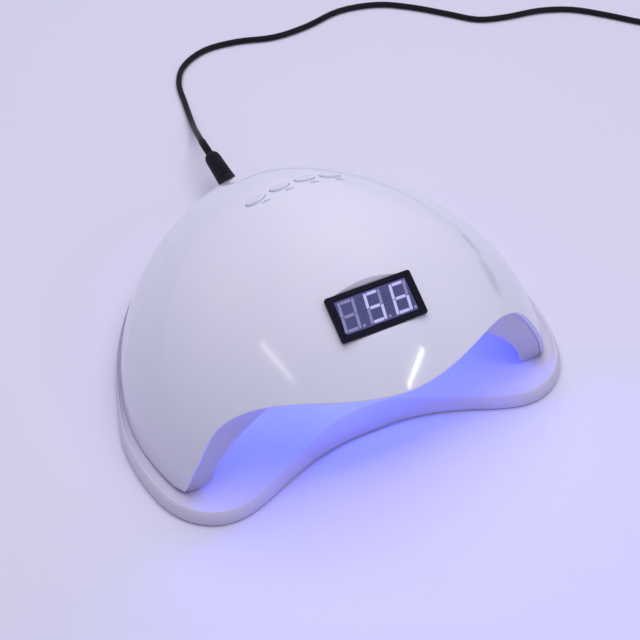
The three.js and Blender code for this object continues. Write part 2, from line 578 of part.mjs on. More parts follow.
// The tray's outline runs round the dome's and swings in, in front, to a hollow curve.
const trayHalf = dome.side + tray.margin;
function marginAt(bearing) {
  const [start, end] = tray.narrowBearings.map(radians);
  return THREE.MathUtils.lerp(tray.margin, tray.rearMargin, THREE.MathUtils.smoothstep(bearing, start, end));
}
function trayOutline() {
  const half = tray.acrossShares.map((share, i) => new THREE.Vector3(
    share * trayHalf, dome.centreY - tray.reachShares[i] * trayHalf, 0));
  const round = [];
  for (let i = 0; i <= tray.roundSteps; i += 1) {
    const angle = (i / tray.roundSteps) * (Math.PI / 2);
    const out = planRadius(domeOf(marginAt(angle)), angle);
    round.push(new THREE.Vector3(out * Math.cos(angle), dome.centreY + out * Math.sin(angle), 0));
  }
  const right = [...half, ...round];
  const left = right.slice(1, -1).reverse().map((p) => new THREE.Vector3(-p.x, p.y, 0));
  const curve = new THREE.CatmullRomCurve3([...right, ...left], true);
  return curve.getSpacedPoints(tray.steps).slice(0, tray.steps);
}
const outline = trayOutline();

// Where a point of the outline comes to for a given inset. Where the margin is narrow, the
// rim is as narrow. In the middle of the front the ramp draws the point further in.
function insetPoint(i, inset, ramp, narrows) {
  const before = outline[(i + tray.steps - 1) % tray.steps];
  const after = outline[(i + 1) % tray.steps];
  const inward = new THREE.Vector3(before.y - after.y, after.x - before.x, 0).normalize();
  const here = outline[i % tray.steps];
  const central = here.y < dome.centreY ? Math.max(0, 1 - (here.x / tray.rampHalf) ** 2) ** 2 : 0;
  const width = narrows ? marginAt(Math.atan2(here.y - dome.centreY, Math.abs(here.x))) / tray.margin : 1;
  return here.clone().addScaledVector(inward, inset * width + ramp * central);
}

// A closed body round the outline from stations of inset, height and ramp. Its first and
// last station have no inset and meet in one point.
function trayLoft(stations, narrows) {
  const profile = stations.map(([inset, height]) => new THREE.Vector2(inset === null ? 0 : 1, height));
  const shape = new THREE.LatheGeometry(profile, tray.steps);
  const spots = shape.attributes.position;
  const hub = new THREE.Vector3(0, dome.centreY + tray.hub, 0);
  for (let i = 0; i < spots.count; i += 1) {
    const [inset, height, ramp = 0] = stations[i % stations.length];
    const point = inset === null ? hub : insetPoint(Math.floor(i / stations.length), inset, ramp, narrows);
    spots.setXYZ(i, point.x, point.y, height);
  }
  return solidOf(shape);
}

const midRise = (tray.crest + tray.under) / 2;
let trayBody = trayLoft([
  [null, tray.under], [tray.bevel, tray.under], [0, tray.under + tray.bevel],
  [tray.bevel / 2, midRise, tray.rampIn * tray.flankShare],
  [tray.crestIn / 2, tray.crest - tray.bevel, tray.rampIn * tray.shoulderShare],
  [tray.crestIn, tray.crest, tray.rampIn],
  [tray.innerFoot - tray.bevel, tray.floor + tray.bevel / 2, tray.rampIn],
  [tray.innerFoot, tray.floor, tray.rampIn], [null, tray.floor],
], true);
let hollow = trayLoft([
  [null, tray.under - overrun], [tray.hollowIn, tray.under - overrun],
  [tray.hollowIn, tray.under + tray.hollow], [null, tray.under + tray.hollow],
], false);
const feet = footShares.map(([name, acrossShare, forwardShare]) => ({
  name,
  at: new THREE.Vector3(acrossShare * dome.side,
    dome.centreY - forwardShare * (forwardShare > 0 ? trayHalf : dome.back), 0),
}));
for (const { at } of feet) {
  hollow = hollow.subtract(rod(foot.radius + foot.pad, at, at.clone().setZ(tray.floor), foot.sides));
}
hollow = hollow.subtract(block(tray.rib, allRound, allRound, new THREE.Vector3(0, 0, 0)));
for (const share of tray.ribShares) {
  hollow = hollow.subtract(block(allRound, tray.rib, allRound,
    new THREE.Vector3(0, dome.centreY + share * dome.back, 0)));
}
trayBody = trayBody.subtract(hollow);
for (const { name, at } of feet) {
  const seat = at.clone().setZ(tray.under + foot.inset + gap);
  trayBody = trayBody.subtract(rod(foot.radius + gap, at, seat, foot.sides));
  addNode(name, rod(foot.radius, at, at.clone().setZ(tray.under + foot.inset), foot.sides), rubber);
}
magnet.bearings.forEach((bearing, i) => {
  const z = (height) => rimSpot(bearing, height);
  const top = rimLow - gap;
  const low = top - gap / 2 - magnet.thick;
  const reach = magnet.radius + magnet.clear;
  trayBody = trayBody.add(rod(reach + magnet.wall, z(tray.floor - sink), z(top), magnet.sides))
    .subtract(rod(reach, z(low - magnet.clear), z(top + overrun), magnet.sides));
  addNode(`tray_magnet_${magnetNames[i]}`,
    rod(magnet.radius, z(low), z(top - gap / 2), magnet.sides), steel);
});
addNode('tray', trayBody, satinWhite);

// A tube of even thickness along a curve, with flat ends.
function tube(curve, radius, steps, sides) {
  const ring = Array.from({ length: sides }, (unused, i) => new THREE.Vector2(
    radius * Math.cos((2 * Math.PI * i) / sides), radius * Math.sin((2 * Math.PI * i) / sides)));
  const shape = new THREE.Shape(ring);
  return new THREE.ExtrudeGeometry(shape, { steps, extrudePath: curve, bevelEnabled: false });
}

// The coil spirals in on the table, climbs in the half turn where it reverses and spirals
// out again on top. Both ends run straight for one thickness.
const heading = new THREE.Vector3(Math.cos(radians(coil.heading)), Math.sin(radians(coil.heading)), 0);
const outward = new THREE.Vector3(heading.y, -heading.x, 0);
const outerRadius = coil.middle + (coil.pitch * coil.loops) / 2;
const coilStart = new THREE.Vector3(coil.startX, coil.startY, 0);
const coilMiddle = coilStart.clone().addScaledVector(outward, -outerRadius);
const coilLow = coil.lift + lead.thick / 2;
const coilHigh = coilLow + lead.thick + coil.layerGap;
const coilPoints = [];
for (let i = 0; i <= 2 * coil.loops * coil.steps; i += 1) {
  const turn = (2 * Math.PI * i) / coil.steps;
  const loopsLeft = Math.abs(i / coil.steps - coil.loops);
  const radius = outerRadius - coil.pitch * (coil.loops - loopsLeft);
  const climb = THREE.MathUtils.smoothstep(i / coil.steps, coil.loops - 0.25, coil.loops + 0.25);
  coilPoints.push(coilMiddle.clone().addScaledVector(outward, radius * Math.cos(turn))
    .addScaledVector(heading, radius * Math.sin(turn)).setZ(coilLow + (coilHigh - coilLow) * climb));
}
const straightIn = coilPoints[0].clone().addScaledVector(heading, -lead.thick);
const straightOut = coilPoints.at(-1).clone().addScaledVector(heading, lead.thick);
const coilLine = [straightIn, ...coilPoints, straightOut];

// The tube's rings stand square to the line, and each is turned no more than it must be.
function woundTube(line, radius, sides) {
  const spots = [];
  line.forEach((point, i) => {
    const way = line[Math.min(i + 1, line.length - 1)].clone().sub(line[Math.max(i - 1, 0)]).normalize();
    const flat = new THREE.Vector3(way.y, -way.x, 0).normalize();
    const rise = flat.clone().cross(way);
    for (let k = 0; k < sides; k += 1) {
      const turn = (2 * Math.PI * k) / sides;
      const spot = point.clone().addScaledVector(flat, radius * Math.cos(turn))
        .addScaledVector(rise, radius * Math.sin(turn));
      spots.push(spot.x, spot.y, spot.z);
    }
  });
  const faces = [];
  const ringAt = (i, k) => i * sides + (k % sides);
  for (let i = 0; i + 1 < line.length; i += 1) {
    for (let k = 0; k < sides; k += 1) {
      faces.push(ringAt(i, k), ringAt(i + 1, k), ringAt(i + 1, k + 1));
      faces.push(ringAt(i, k), ringAt(i + 1, k + 1), ringAt(i, k + 1));
    }
  }
  for (let k = 1; k + 1 < sides; k += 1) {
    faces.push(ringAt(0, 0), ringAt(0, k), ringAt(0, k + 1));
    faces.push(ringAt(line.length - 1, 0), ringAt(line.length - 1, k + 1), ringAt(line.length - 1, k));
  }
  const geometry = new THREE.BufferGeometry();
  geometry.setAttribute('position', new THREE.Float32BufferAttribute(spots, 3));
  geometry.setIndex(faces);
  return geometry;
}

// The least gap between turns that are more than half a loop apart.
function leastGap(line, thick) {
  let least = Infinity;
  for (let i = 0; i < line.length; i += 1) {
    for (let k = i + coil.steps / 2; k < line.length; k += 1) {
      least = Math.min(least, line[i].distanceTo(line[k]) - thick);
    }
  }
  return least;
}
console.log('coil: least gap between its turns', leastGap(coilLine, lead.thick).toFixed(2), 'mm');
addNode('lead_coil', woundTube(coilLine, lead.thick / 2, coil.sides), rubber);

// The lead from the plug to the coil.
const leadStart = new THREE.Vector3(0, plugEnd + gap, jack.height);
const leadStop = straightIn.clone().addScaledVector(heading, -gap);
const leadPoints = [leadStart, ...lead.route.map((p) => new THREE.Vector3(...p)),
  leadStop.clone().addScaledVector(heading, -lead.thick * 2), leadStop];
const leadCurve = new THREE.CatmullRomCurve3(leadPoints);
addNode('lead', tube(leadCurve, lead.thick / 2, lead.steps, lead.sides), rubber);

// A strap round all turns, opposite the ends of the coil.
const tieReach = (coil.pitch * (coil.loops - 1)) / 2 + lead.thick / 2 + 2 * gap;
const tieLow = coilLow - lead.thick / 2 - gap;
const tieHigh = coilHigh + lead.thick / 2 + gap;
const tieAt = coilMiddle.clone().addScaledVector(outward, -coil.middle);
const tieBlock = (grow, wide) => block(2 * (tieReach + grow), tieHigh - tieLow + 2 * grow, wide,
  tieAt.clone().setZ((tieLow + tieHigh) / 2), heading, outward);
const tieHole = tieBlock(0, coil.tieWide + overrun);
addNode('coil_tie', tieBlock(coil.tieThick, coil.tieWide).subtract(tieHole), rubber);

// The adapter lies in line with the coil's end: strain relief, case, cap and two pins.
const inLine = (far, z, aside = 0) => straightOut.clone().addScaledVector(heading, far)
  .addScaledVector(outward, aside).setZ(z);
const adapterZ = adapter.tall / 2;
const reliefAt = coil.tieWide + adapter.away;
const caseAt = reliefAt + adapter.reliefLong;
const capAt = caseAt + adapter.long - adapter.capLong;
const pinAt = caseAt + adapter.long;
const tailPoints = [
  inLine(gap, coilHigh), inLine(lead.thick, coilHigh), inLine(reliefAt / 2, (coilHigh + adapterZ) / 2),
  inLine(reliefAt - lead.thick, adapterZ), inLine(reliefAt - gap, adapterZ),
];
addNode('lead_tail', tube(new THREE.CatmullRomCurve3(tailPoints), lead.thick / 2, 12, lead.sides), rubber);
const reliefLong = adapter.reliefLong - gap;
const reliefBody = new THREE.CylinderGeometry(adapter.relief, adapter.reliefTip, reliefLong, adapter.sides);
addNode('adapter_relief', placed(reliefBody.rotateX(Math.PI / 2),
  inLine(reliefAt + reliefLong / 2, adapterZ), heading), rubber);
const adapterBlock = (from, to, shrink) => solidOf(placed(
  roundedBlock(adapter.wide - 2 * shrink, adapter.tall - 2 * shrink, to - from, adapter.corner),
  inLine(from, adapterZ), heading, outward));
addNode('adapter_case', adapterBlock(caseAt, capAt - gap, 0), blackPlastic);
let cap = adapterBlock(capAt, pinAt, adapter.step);
for (const [name, side] of [['adapter_pin_left', -1], ['adapter_pin_right', 1]]) {
  const root = pinAt - adapter.pin;
  const onPin = (far) => inLine(far, adapterZ, (side * adapter.pinPitch) / 2);
  cap = cap.subtract(rod(adapter.pinRoot + gap, onPin(root), onPin(pinAt + overrun), adapter.sides));
  const sleeve = rod(adapter.pinRoot, onPin(root + gap), onPin(root + adapter.pinRootLong), adapter.sides);
  const bare = rod(adapter.pin, onPin(root + adapter.pinRootLong - sink), onPin(root + adapter.pinLong),
    adapter.sides);
  addNode(name, sleeve.add(bare), steel);
}
addNode('adapter_cap', cap, blackPlastic);

export default lamp;
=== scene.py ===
# A table-top nail lamp: glossy domed covers with a wave-shaped visor, a satin tray, a
# silvered reflector with lit lamps, a three-digit display, four buttons and a black lead.
import math

import bmesh
import bpy
from mathutils import Matrix, Vector

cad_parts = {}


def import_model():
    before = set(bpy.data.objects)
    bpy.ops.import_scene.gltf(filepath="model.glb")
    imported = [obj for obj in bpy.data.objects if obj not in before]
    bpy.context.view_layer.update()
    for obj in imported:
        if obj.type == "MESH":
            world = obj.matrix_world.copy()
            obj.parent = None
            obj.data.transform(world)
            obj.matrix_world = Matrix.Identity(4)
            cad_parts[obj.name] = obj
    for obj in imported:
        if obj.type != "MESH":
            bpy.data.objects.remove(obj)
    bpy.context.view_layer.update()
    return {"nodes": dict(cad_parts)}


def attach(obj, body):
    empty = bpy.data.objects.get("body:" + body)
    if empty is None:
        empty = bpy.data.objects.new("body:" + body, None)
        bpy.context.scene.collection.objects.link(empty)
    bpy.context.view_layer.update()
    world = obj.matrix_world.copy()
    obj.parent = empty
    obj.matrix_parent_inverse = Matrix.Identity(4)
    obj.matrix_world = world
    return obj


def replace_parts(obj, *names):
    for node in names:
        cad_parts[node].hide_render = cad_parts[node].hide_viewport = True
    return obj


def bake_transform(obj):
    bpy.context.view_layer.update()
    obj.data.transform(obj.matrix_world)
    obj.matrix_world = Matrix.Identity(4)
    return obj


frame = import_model()

mm = 0.001
tau = 2 * math.pi
quarter = math.pi / 2


def lerp(a, b, share):
    return a + (b - a) * share


def smoothstep(value, low, high):
    share = min(1, max(0, (value - low) / (high - low)))
    return share * share * (3 - 2 * share)


def bisect(low, high, isLow, steps=30):
    # the place between low and high where isLow turns from true to false
    for _ in range(steps):
        middle = (low + high) / 2
        if isLow(middle):
            low = middle
        else:
            high = middle
    return (low + high) / 2


# The camera stands in front and to the left, and looks down on the crown.
cameraView = dict(lens=78.75, azimuth=-25.67, elevation=48.52, roll=-0.18, away=727.2, target=(8.66, 7.76, 0))


def makeCamera():
    data = bpy.data.cameras.new("viewCamera")
    data.lens = cameraView["lens"]
    data.sensor_width = 36
    data.clip_start = 0.01
    camera = bpy.data.objects.new("viewCamera", data)
    bpy.context.collection.objects.link(camera)
    a, e = math.radians(cameraView["azimuth"]), math.radians(cameraView["elevation"])
    back = Vector((math.sin(a) * math.cos(e), -math.cos(a) * math.cos(e), math.sin(e)))
    camera.location = (Vector(cameraView["target"]) + back * cameraView["away"]) * mm
    turn = (-back).to_track_quat("-Z", "Y").to_matrix().to_4x4()
    roll = Matrix.Rotation(math.radians(cameraView["roll"]), 4, "Z")
    camera.rotation_euler = (turn @ roll).to_euler()
    bpy.context.scene.camera = camera


makeCamera()
print("camera placed")


# Shader groups that several materials share. Each puts out a colour or a mask.
def newGroup(name, inputs, outputs):
    group = bpy.data.node_groups.new(name, "ShaderNodeTree")
    for socketName, kind, value in inputs:
        socket = group.interface.new_socket(name=socketName, in_out="INPUT", socket_type=kind)
        socket.default_value = value
    for socketName, kind in outputs:
        group.interface.new_socket(name=socketName, in_out="OUTPUT", socket_type=kind)
    return group, group.nodes.new("NodeGroupInput"), group.nodes.new("NodeGroupOutput")


def addMath(nodes, links, operation, first, second=None, clamp=False):
    node = nodes.new("ShaderNodeMath")
    node.operation = operation
    node.use_clamp = clamp
    for socket, value in zip(node.inputs, (first, second)):
        if value is None:
            continue
        if isinstance(value, (int, float)):
            socket.default_value = value
        else:
            links.new(value, socket)
    return node.outputs[0]


def noiseNode(group, scale, detail, roughness=0.5):
    nodes, links = group.nodes, group.links
    place = nodes.new("ShaderNodeTexCoord")
    noise = nodes.new("ShaderNodeTexNoise")
    noise.inputs["Detail"].default_value = detail
    noise.inputs["Roughness"].default_value = roughness
    links.new(place.outputs["Object"], noise.inputs["Vector"])
    links.new(scale, noise.inputs["Scale"])
    return noise


def spreadBetween(group, noise, low, high, first, second, kind="FLOAT"):
    # mixes two values or colours by a noise stretched between two of its own values
    nodes, links = group.nodes, group.links
    spread = nodes.new("ShaderNodeMapRange")
    spread.inputs["From Min"].default_value = low
    spread.inputs["From Max"].default_value = high
    links.new(noise.outputs["Fac"], spread.inputs["Value"])
    mix = nodes.new("ShaderNodeMix")
    mix.data_type = kind
    links.new(spread.outputs["Result"], mix.inputs["Factor"])
    links.new(first, mix.inputs["A"])
    links.new(second, mix.inputs["B"])
    return mix.outputs["Result"]


def makeGrainGroup():
    # fine moulded texture as a height, with a broader unevenness mixed in
    group, start, end = newGroup("mouldedGrain", [
        ("Scale", "NodeSocketFloat", 1500), ("Waviness", "NodeSocketFloat", 0.2)],
        [("Height", "NodeSocketFloat")])
    nodes, links = group.nodes, group.links
    fine = noiseNode(group, start.outputs["Scale"], 3, 0.6)
    broadScale = addMath(nodes, links, "MULTIPLY", start.outputs["Scale"], 0.02)
    broad = noiseNode(group, broadScale, 1)
    mix = nodes.new("ShaderNodeMix")
    links.new(start.outputs["Waviness"], mix.inputs["Factor"])
    links.new(fine.outputs["Fac"], mix.inputs["A"])
    links.new(broad.outputs["Fac"], mix.inputs["B"])
    links.new(mix.outputs["Result"], end.inputs["Height"])
    return group


def makeToneGroup():
    # two near colours that drift into each other over the surface
    group, start, end = newGroup("toneDrift", [
        ("Light", "NodeSocketColor", (1, 1, 1, 1)), ("Dark", "NodeSocketColor", (0.8, 0.8, 0.8, 1)),
        ("Scale", "NodeSocketFloat", 30)], [("Colour", "NodeSocketColor")])
    noise = noiseNode(group, start.outputs["Scale"], 4, 0.55)
    colour = spreadBetween(group, noise, 0.3, 0.7, start.outputs["Light"], start.outputs["Dark"], "RGBA")
    group.links.new(colour, end.inputs["Colour"])
    return group


def makeRubGroup():
    # roughness that varies with faint smears and fingerprints
    group, start, end = newGroup("rubMarks", [
        ("Smooth", "NodeSocketFloat", 0.1), ("Rough", "NodeSocketFloat", 0.3),
        ("Scale", "NodeSocketFloat", 60)], [("Roughness", "NodeSocketFloat")])
    noise = noiseNode(group, start.outputs["Scale"], 6, 0.65)
    roughness = spreadBetween(group, noise, 0.35, 0.75, start.outputs["Smooth"], start.outputs["Rough"])
    group.links.new(roughness, end.inputs["Roughness"])
    return group


def makeDustGroup():
    # a mask of thin dust on what faces up
    group, start, end = newGroup("settledDust", [
        ("Amount", "NodeSocketFloat", 0.1), ("Scale", "NodeSocketFloat", 900)], [("Mask", "NodeSocketFloat")])
    nodes, links = group.nodes, group.links
    noise = noiseNode(group, start.outputs["Scale"], 5, 0.7)
    geometry = nodes.new("ShaderNodeNewGeometry")
    parts = nodes.new("ShaderNodeSeparateXYZ")
    links.new(geometry.outputs["Normal"], parts.inputs[0])
    facingUp = addMath(nodes, links, "POWER", addMath(nodes, links, "MAXIMUM", parts.outputs["Z"], 0.0), 2.0)
    specks = addMath(nodes, links, "MULTIPLY", addMath(nodes, links, "SUBTRACT", noise.outputs["Fac"], 0.45),
                     4.0,
                     clamp=True)
    both = addMath(nodes, links, "MULTIPLY", facingUp, specks)
    links.new(addMath(nodes, links, "MULTIPLY", both, start.outputs["Amount"]), end.inputs["Mask"])
    return group


def makeWearGroup():
    # a mask of worn outer edges, broken up by noise
    group, start, end = newGroup("edgeWear", [
        ("Amount", "NodeSocketFloat", 0.3), ("Scale", "NodeSocketFloat", 300)], [("Mask", "NodeSocketFloat")])
    nodes, links = group.nodes, group.links
    noise = noiseNode(group, start.outputs["Scale"], 4, 0.6)
    geometry = nodes.new("ShaderNodeNewGeometry")
    sharp = addMath(nodes, links, "SUBTRACT", geometry.outputs["Pointiness"], 0.52)
    edge = addMath(nodes, links, "MULTIPLY", sharp, 12.0, clamp=True)
    broken = addMath(nodes, links, "MULTIPLY", edge, noise.outputs["Fac"])
    links.new(addMath(nodes, links, "MULTIPLY", broken, start.outputs["Amount"], clamp=True),
              end.inputs["Mask"])
    return group


grainGroup = makeGrainGroup()
toneGroup = makeToneGroup()
rubGroup = makeRubGroup()
dustGroup = makeDustGroup()
wearGroup = makeWearGroup()


def placeGroup(nodes, group, **values):
    node = nodes.new("ShaderNodeGroup")
    node.node_tree = group
    for name, value in values.items():
        node.inputs[name].default_value = (*value, 1) if isinstance(value, tuple) else value
    return node


def mixColour(nodes, links, mask, base, over):
    node = nodes.new("ShaderNodeMix")
    node.data_type = "RGBA"
    links.new(mask, node.inputs["Factor"])
    links.new(base, node.inputs["A"])
    node.inputs["B"].default_value = (*over, 1)
    return node.outputs["Result"]


socketLabels = dict(coat="Coat Weight", coatRoughness="Coat Roughness", metallic="Metallic", ior="IOR",
                    emission="Emission Color", emissionStrength="Emission Strength",
                    specular="Specular IOR Level")


def finish(name, light, dark, toneScale=30, smooth=0.2, rough=0.35, rubScale=60, grain=1500, grainDepth=0.01,
           waviness=0.2, dust=0.1, dustColour=(0.75, 0.74, 0.78), wear=0.2, wearColour=(0.8, 0.8, 0.85),
           **sockets):
    material = bpy.data.materials.new(name)
    material.use_nodes = True
    nodes, links = material.node_tree.nodes, material.node_tree.links
    shader = nodes["Principled BSDF"]
    tone = placeGroup(nodes, toneGroup, Light=light, Dark=dark, Scale=toneScale)
    colour = tone.outputs["Colour"]
    for group, amount, over in ((wearGroup, wear, wearColour), (dustGroup, dust, dustColour)):
        if amount:
            mask = placeGroup(nodes, group, Amount=amount)
            colour = mixColour(nodes, links, mask.outputs["Mask"], colour, over)
    links.new(colour, shader.inputs["Base Color"])
    rub = placeGroup(nodes, rubGroup, Smooth=smooth, Rough=rough, Scale=rubScale)
    links.new(rub.outputs["Roughness"], shader.inputs["Roughness"])
    texture = placeGroup(nodes, grainGroup, Scale=grain, Waviness=waviness)
    bump = nodes.new("ShaderNodeBump")
    bump.inputs["Strength"].default_value = 1
    bump.inputs["Distance"].default_value = grainDepth * mm
    links.new(texture.outputs["Height"], bump.inputs["Height"])
    links.new(bump.outputs["Normal"], shader.inputs["Normal"])
    for socket, value in sockets.items():
        shader.inputs[socketLabels[socket]].default_value = (*value, 1) if socket == "emission" else value
    return material


coverGloss = finish("coverGloss", (0.78, 0.77, 0.93), (0.75, 0.74, 0.91), toneScale=22, smooth=0.10,
                    rough=0.19,
                    rubScale=45, grain=700, grainDepth=0.004, waviness=0.7, dust=0.05, wear=0.15,
                    wearColour=(0.9, 0.9, 0.93), coat=0.5, coatRoughness=0.06, ior=1.5)
traySatin = finish("traySatin", (0.70, 0.66, 0.82), (0.66, 0.62, 0.79), toneScale=26, smooth=0.36, rough=0.48,
                   rubScale=70, grain=1900, grainDepth=0.012, waviness=0.15, dust=0.12, wear=0.25,
                   wearColour=(0.88, 0.87, 0.91), ior=1.5)
mirrorSilver = finish("mirrorSilver", (0.60, 0.58, 0.68), (0.54, 0.52, 0.63), toneScale=35, smooth=0.38,
                      rough=0.48,
                      rubScale=80, grain=1300, grainDepth=0.0015, waviness=0.35, dust=0.05, wear=0,
                      metallic=0.3)
ledgeBlack = finish("ledgeBlack", (0.003, 0.0028, 0.010), (0.006, 0.0055, 0.014), toneScale=60, smooth=0.28,
                    rough=0.42,
                    rubScale=120, grain=2200, grainDepth=0.012, dust=0.02, dustColour=(0.3, 0.3, 0.34),
                    wear=0.12,
                    wearColour=(0.09, 0.09, 0.1), specular=0.14)
lensSmoke = finish("lensSmoke", (0.05, 0.052, 0.21), (0.042, 0.044, 0.18), toneScale=40, smooth=0.06,
                   rough=0.16,
                   rubScale=90, grain=500, grainDepth=0.003, waviness=0.6, dust=0.10,
                   dustColour=(0.4, 0.4, 0.5),
                   wear=0, coat=0.6, coatRoughness=0.05)
digitLit = finish("digitLit", (0.40, 0.38, 0.66), (0.36, 0.35, 0.60), toneScale=400, smooth=0.2, rough=0.3,
                  grain=3000, grainDepth=0.002, dust=0, wear=0, emission=(0.60, 0.60, 1.0),
                  emissionStrength=0.34)
digitDim = finish("digitDim", (0.30, 0.285, 0.52), (0.25, 0.24, 0.47), toneScale=400, smooth=0.2, rough=0.3,
                  grain=3000, grainDepth=0.002, dust=0, wear=0)
printGrey = finish("printGrey", (0.10, 0.10, 0.13), (0.14, 0.14, 0.18), toneScale=900, smooth=0.4, rough=0.5,
                   grain=3000, grainDepth=0.002, dust=0.1, wear=0)
rubberBlack = finish("rubberBlack", (0.003, 0.003, 0.0045), (0.006, 0.006, 0.008), toneScale=90, smooth=0.5,
                     rough=0.68,
                     rubScale=140, grain=2600, grainDepth=0.02, dust=0.03, dustColour=(0.2, 0.2, 0.22),
                     wear=0.1,
                     wearColour=(0.06, 0.06, 0.065), specular=0.12)
leadJacket = finish("leadJacket", (0.004, 0.004, 0.0055), (0.007, 0.007, 0.009), toneScale=120, smooth=0.34,
                    rough=0.5,
                    rubScale=200, grain=1800, grainDepth=0.01, dust=0.04, dustColour=(0.2, 0.2, 0.22), wear=0,
                    specular=0.16)
boardGreen = finish("boardGreen", (0.03, 0.17, 0.08), (0.02, 0.12, 0.055), toneScale=500, smooth=0.3,
                    rough=0.45,
                    grain=1200, grainDepth=0.02, dust=0.1, wear=0.2, wearColour=(0.45, 0.42, 0.2))
stripWhite = finish("stripWhite", (0.72, 0.74, 0.80), (0.66, 0.68, 0.75), toneScale=200, smooth=0.4,
                    rough=0.55,
                    grain=1500, grainDepth=0.01, dust=0.1, wear=0)
steelBright = finish("steelBright", (0.62, 0.62, 0.66), (0.52, 0.52, 0.56), toneScale=300, smooth=0.18,
                     rough=0.36,
                     rubScale=300, grain=900, grainDepth=0.01, dust=0.08, wear=0.3, metallic=1.0)
lampEpoxy = finish("lampEpoxy", (0.55, 0.58, 1.0), (0.40, 0.42, 0.95), toneScale=500, smooth=0.06, rough=0.14,
                   grain=900, grainDepth=0.004, dust=0, wear=0, emission=(0.18, 0.16, 1.0),
                   emissionStrength=3.0)
print("finishes made")


# The forms. Both domes are round in plan with a front and a back power, and rise to their
# crown with a rise power. Lengths are in millimetres until a mesh is made.
dome = dict(side=106, front=113, back=125, centreY=-25.75, edge=6.5, crown=102, wall=2.4,
            frontPower=1.9, backPower=1.8, risePower=1.65, crownEase=0.035, easeTo=0.2)
centreY, footZ = dome["centreY"], dome["edge"]
mirror = dict(sideIn=13.5, frontIn=13, backIn=18, crownIn=30, wall=1.8, rim=3, risePower=1.7, cheek=1.6,
              cheekAt=41.5)
visor = dict(cutTo=30, lip=0.9, easing=50,
             across=(0, 0.15, 0.3, 0.434, 0.53, 0.604, 0.68, 0.735, 0.78, 0.83, 0.887, 0.915, 0.93),
             height=(0.645, 0.646, 0.64, 0.62, 0.588, 0.55, 0.492, 0.435, 0.372, 0.277, 0.14, 0.03, -0.12))
seam = dict(footY=-15, lean=1.05, gap=0.3, lip=0.5)
baseLip = 0.7
clearance = 0.3  # between pieces that fit in one another
up = Vector((0, 0, 1))


def domeOf(growth):
    return dict(side=dome["side"] + growth, front=dome["front"] + growth, back=dome["back"] + growth,
                crown=dome["crown"] + growth, risePower=dome["risePower"])


def mirrorOf(growth):
    return dict(side=dome["side"] - mirror["sideIn"] + growth,
                front=dome["front"] - mirror["frontIn"] + growth,
                back=dome["back"] - mirror["backIn"] + growth,
                crown=dome["crown"] - mirror["crownIn"] + growth,
                risePower=mirror["risePower"])


def planRadius(form, bearing):
    ahead = math.sin(bearing) < 0
    power = dome["frontPower"] if ahead else dome["backPower"]
    across = abs(math.cos(bearing) / form["side"]) ** power
    along = abs(math.sin(bearing) / form["front" if ahead else "back"]) ** power
    return (across + along) ** (-1 / power)


def easedShare(share):
    # takes the point off the crown
    return math.hypot(share, dome["crownEase"] * (1 - smoothstep(share, 0, dome["easeTo"])))


def heightAt(form, x, y):
    out = math.hypot(x, y - centreY)
    share = easedShare(out / planRadius(form, math.atan2(y - centreY, x)))
    left = max(0, 1 - share ** form["risePower"])
    return footZ + (form["crown"] - footZ) * left ** (1 / form["risePower"])


def spotOn(form, bearing, swing):
    # swing runs from 0 at the lower edge to a quarter turn at the crown
    out = planRadius(form, bearing) * max(0, math.cos(swing)) ** (2 / form["risePower"])
    x, y = out * math.cos(bearing), centreY + out * math.sin(bearing)
    if swing > 0.5:
        return Vector((x, y, heightAt(form, x, y)))
    rise = math.sin(swing) ** (2 / form["risePower"]) if swing > 0 else 0
    return Vector((x, y, footZ + (form["crown"] - footZ) * rise))


def swingOf(form, point):
    out = math.hypot(point.x, point.y - centreY)
    bearing = math.atan2(point.y - centreY, point.x)
    return bearing, math.acos(min(1, out / planRadius(form, bearing)) ** (form["risePower"] / 2))


def spotAtHeight(form, bearing, height):
    rise = (height - footZ) / (form["crown"] - footZ)
    out = planRadius(form, bearing) * (1 - rise ** form["risePower"]) ** (1 / form["risePower"])
    return Vector((out * math.cos(bearing), centreY + out * math.sin(bearing), height))


def facingAt(form, bearing, height):
    small = 0.002
    here = spotAtHeight(form, bearing, height)
    around = spotAtHeight(form, bearing + small, height) - here
    above = spotAtHeight(form, bearing, height * (1 + small)) - here
    return around.cross(above).normalized()


def slopeAt(form, x, y):
    small = form["side"] * 0.002
    alongX = heightAt(form, x + small, y) - heightAt(form, x - small, y)
    alongY = heightAt(form, x, y + small) - heightAt(form, x, y - small)
    return Vector((-alongX, -alongY, 2 * small)).normalized()


def splinePoints(points, pieces):
    # a smooth line through points, with even weights at each
    line = []
    for i in range(len(points) - 1):
        before, a = points[max(i - 1, 0)], points[i]
        b, after = points[i + 1], points[min(i + 2, len(points) - 1)]
        for k in range(pieces):
            t = k / pieces
            line.append(tuple(0.5 * (2 * q + (r - p) * t + (2 * p - 5 * q + 4 * r - s) * t * t
                                     + (3 * q - p - 3 * r + s) * t ** 3)
                              for p, q, r, s in zip(before, a, b, after)))
    return line + [tuple(points[-1])]


wavePoints = [(share * dome["side"], footZ + rise * (dome["crown"] - footZ))
              for share, rise in zip(visor["across"], visor["height"])]
waveLine = splinePoints([(-wavePoints[1][0], wavePoints[1][1])] + wavePoints, 12)
for again in range(visor["easing"]):
    waveLine = [waveLine[0]] + [tuple((p + 2 * q + r) / 4 for p, q, r in zip(*three))
                                for three in zip(waveLine, waveLine[1:], waveLine[2:])] + [waveLine[-1]]
waveLine = waveLine[12:]


def waveHeight(x):
    x = abs(x)
    for (x0, z0), (x1, z1) in zip(waveLine, waveLine[1:]):
        if x <= x1:
            return lerp(z0, z1, (x - x0) / (x1 - x0))
    return -dome["side"]


waveFootX = bisect(dome["side"] / 2, dome["side"], lambda x: waveHeight(x) > footZ)


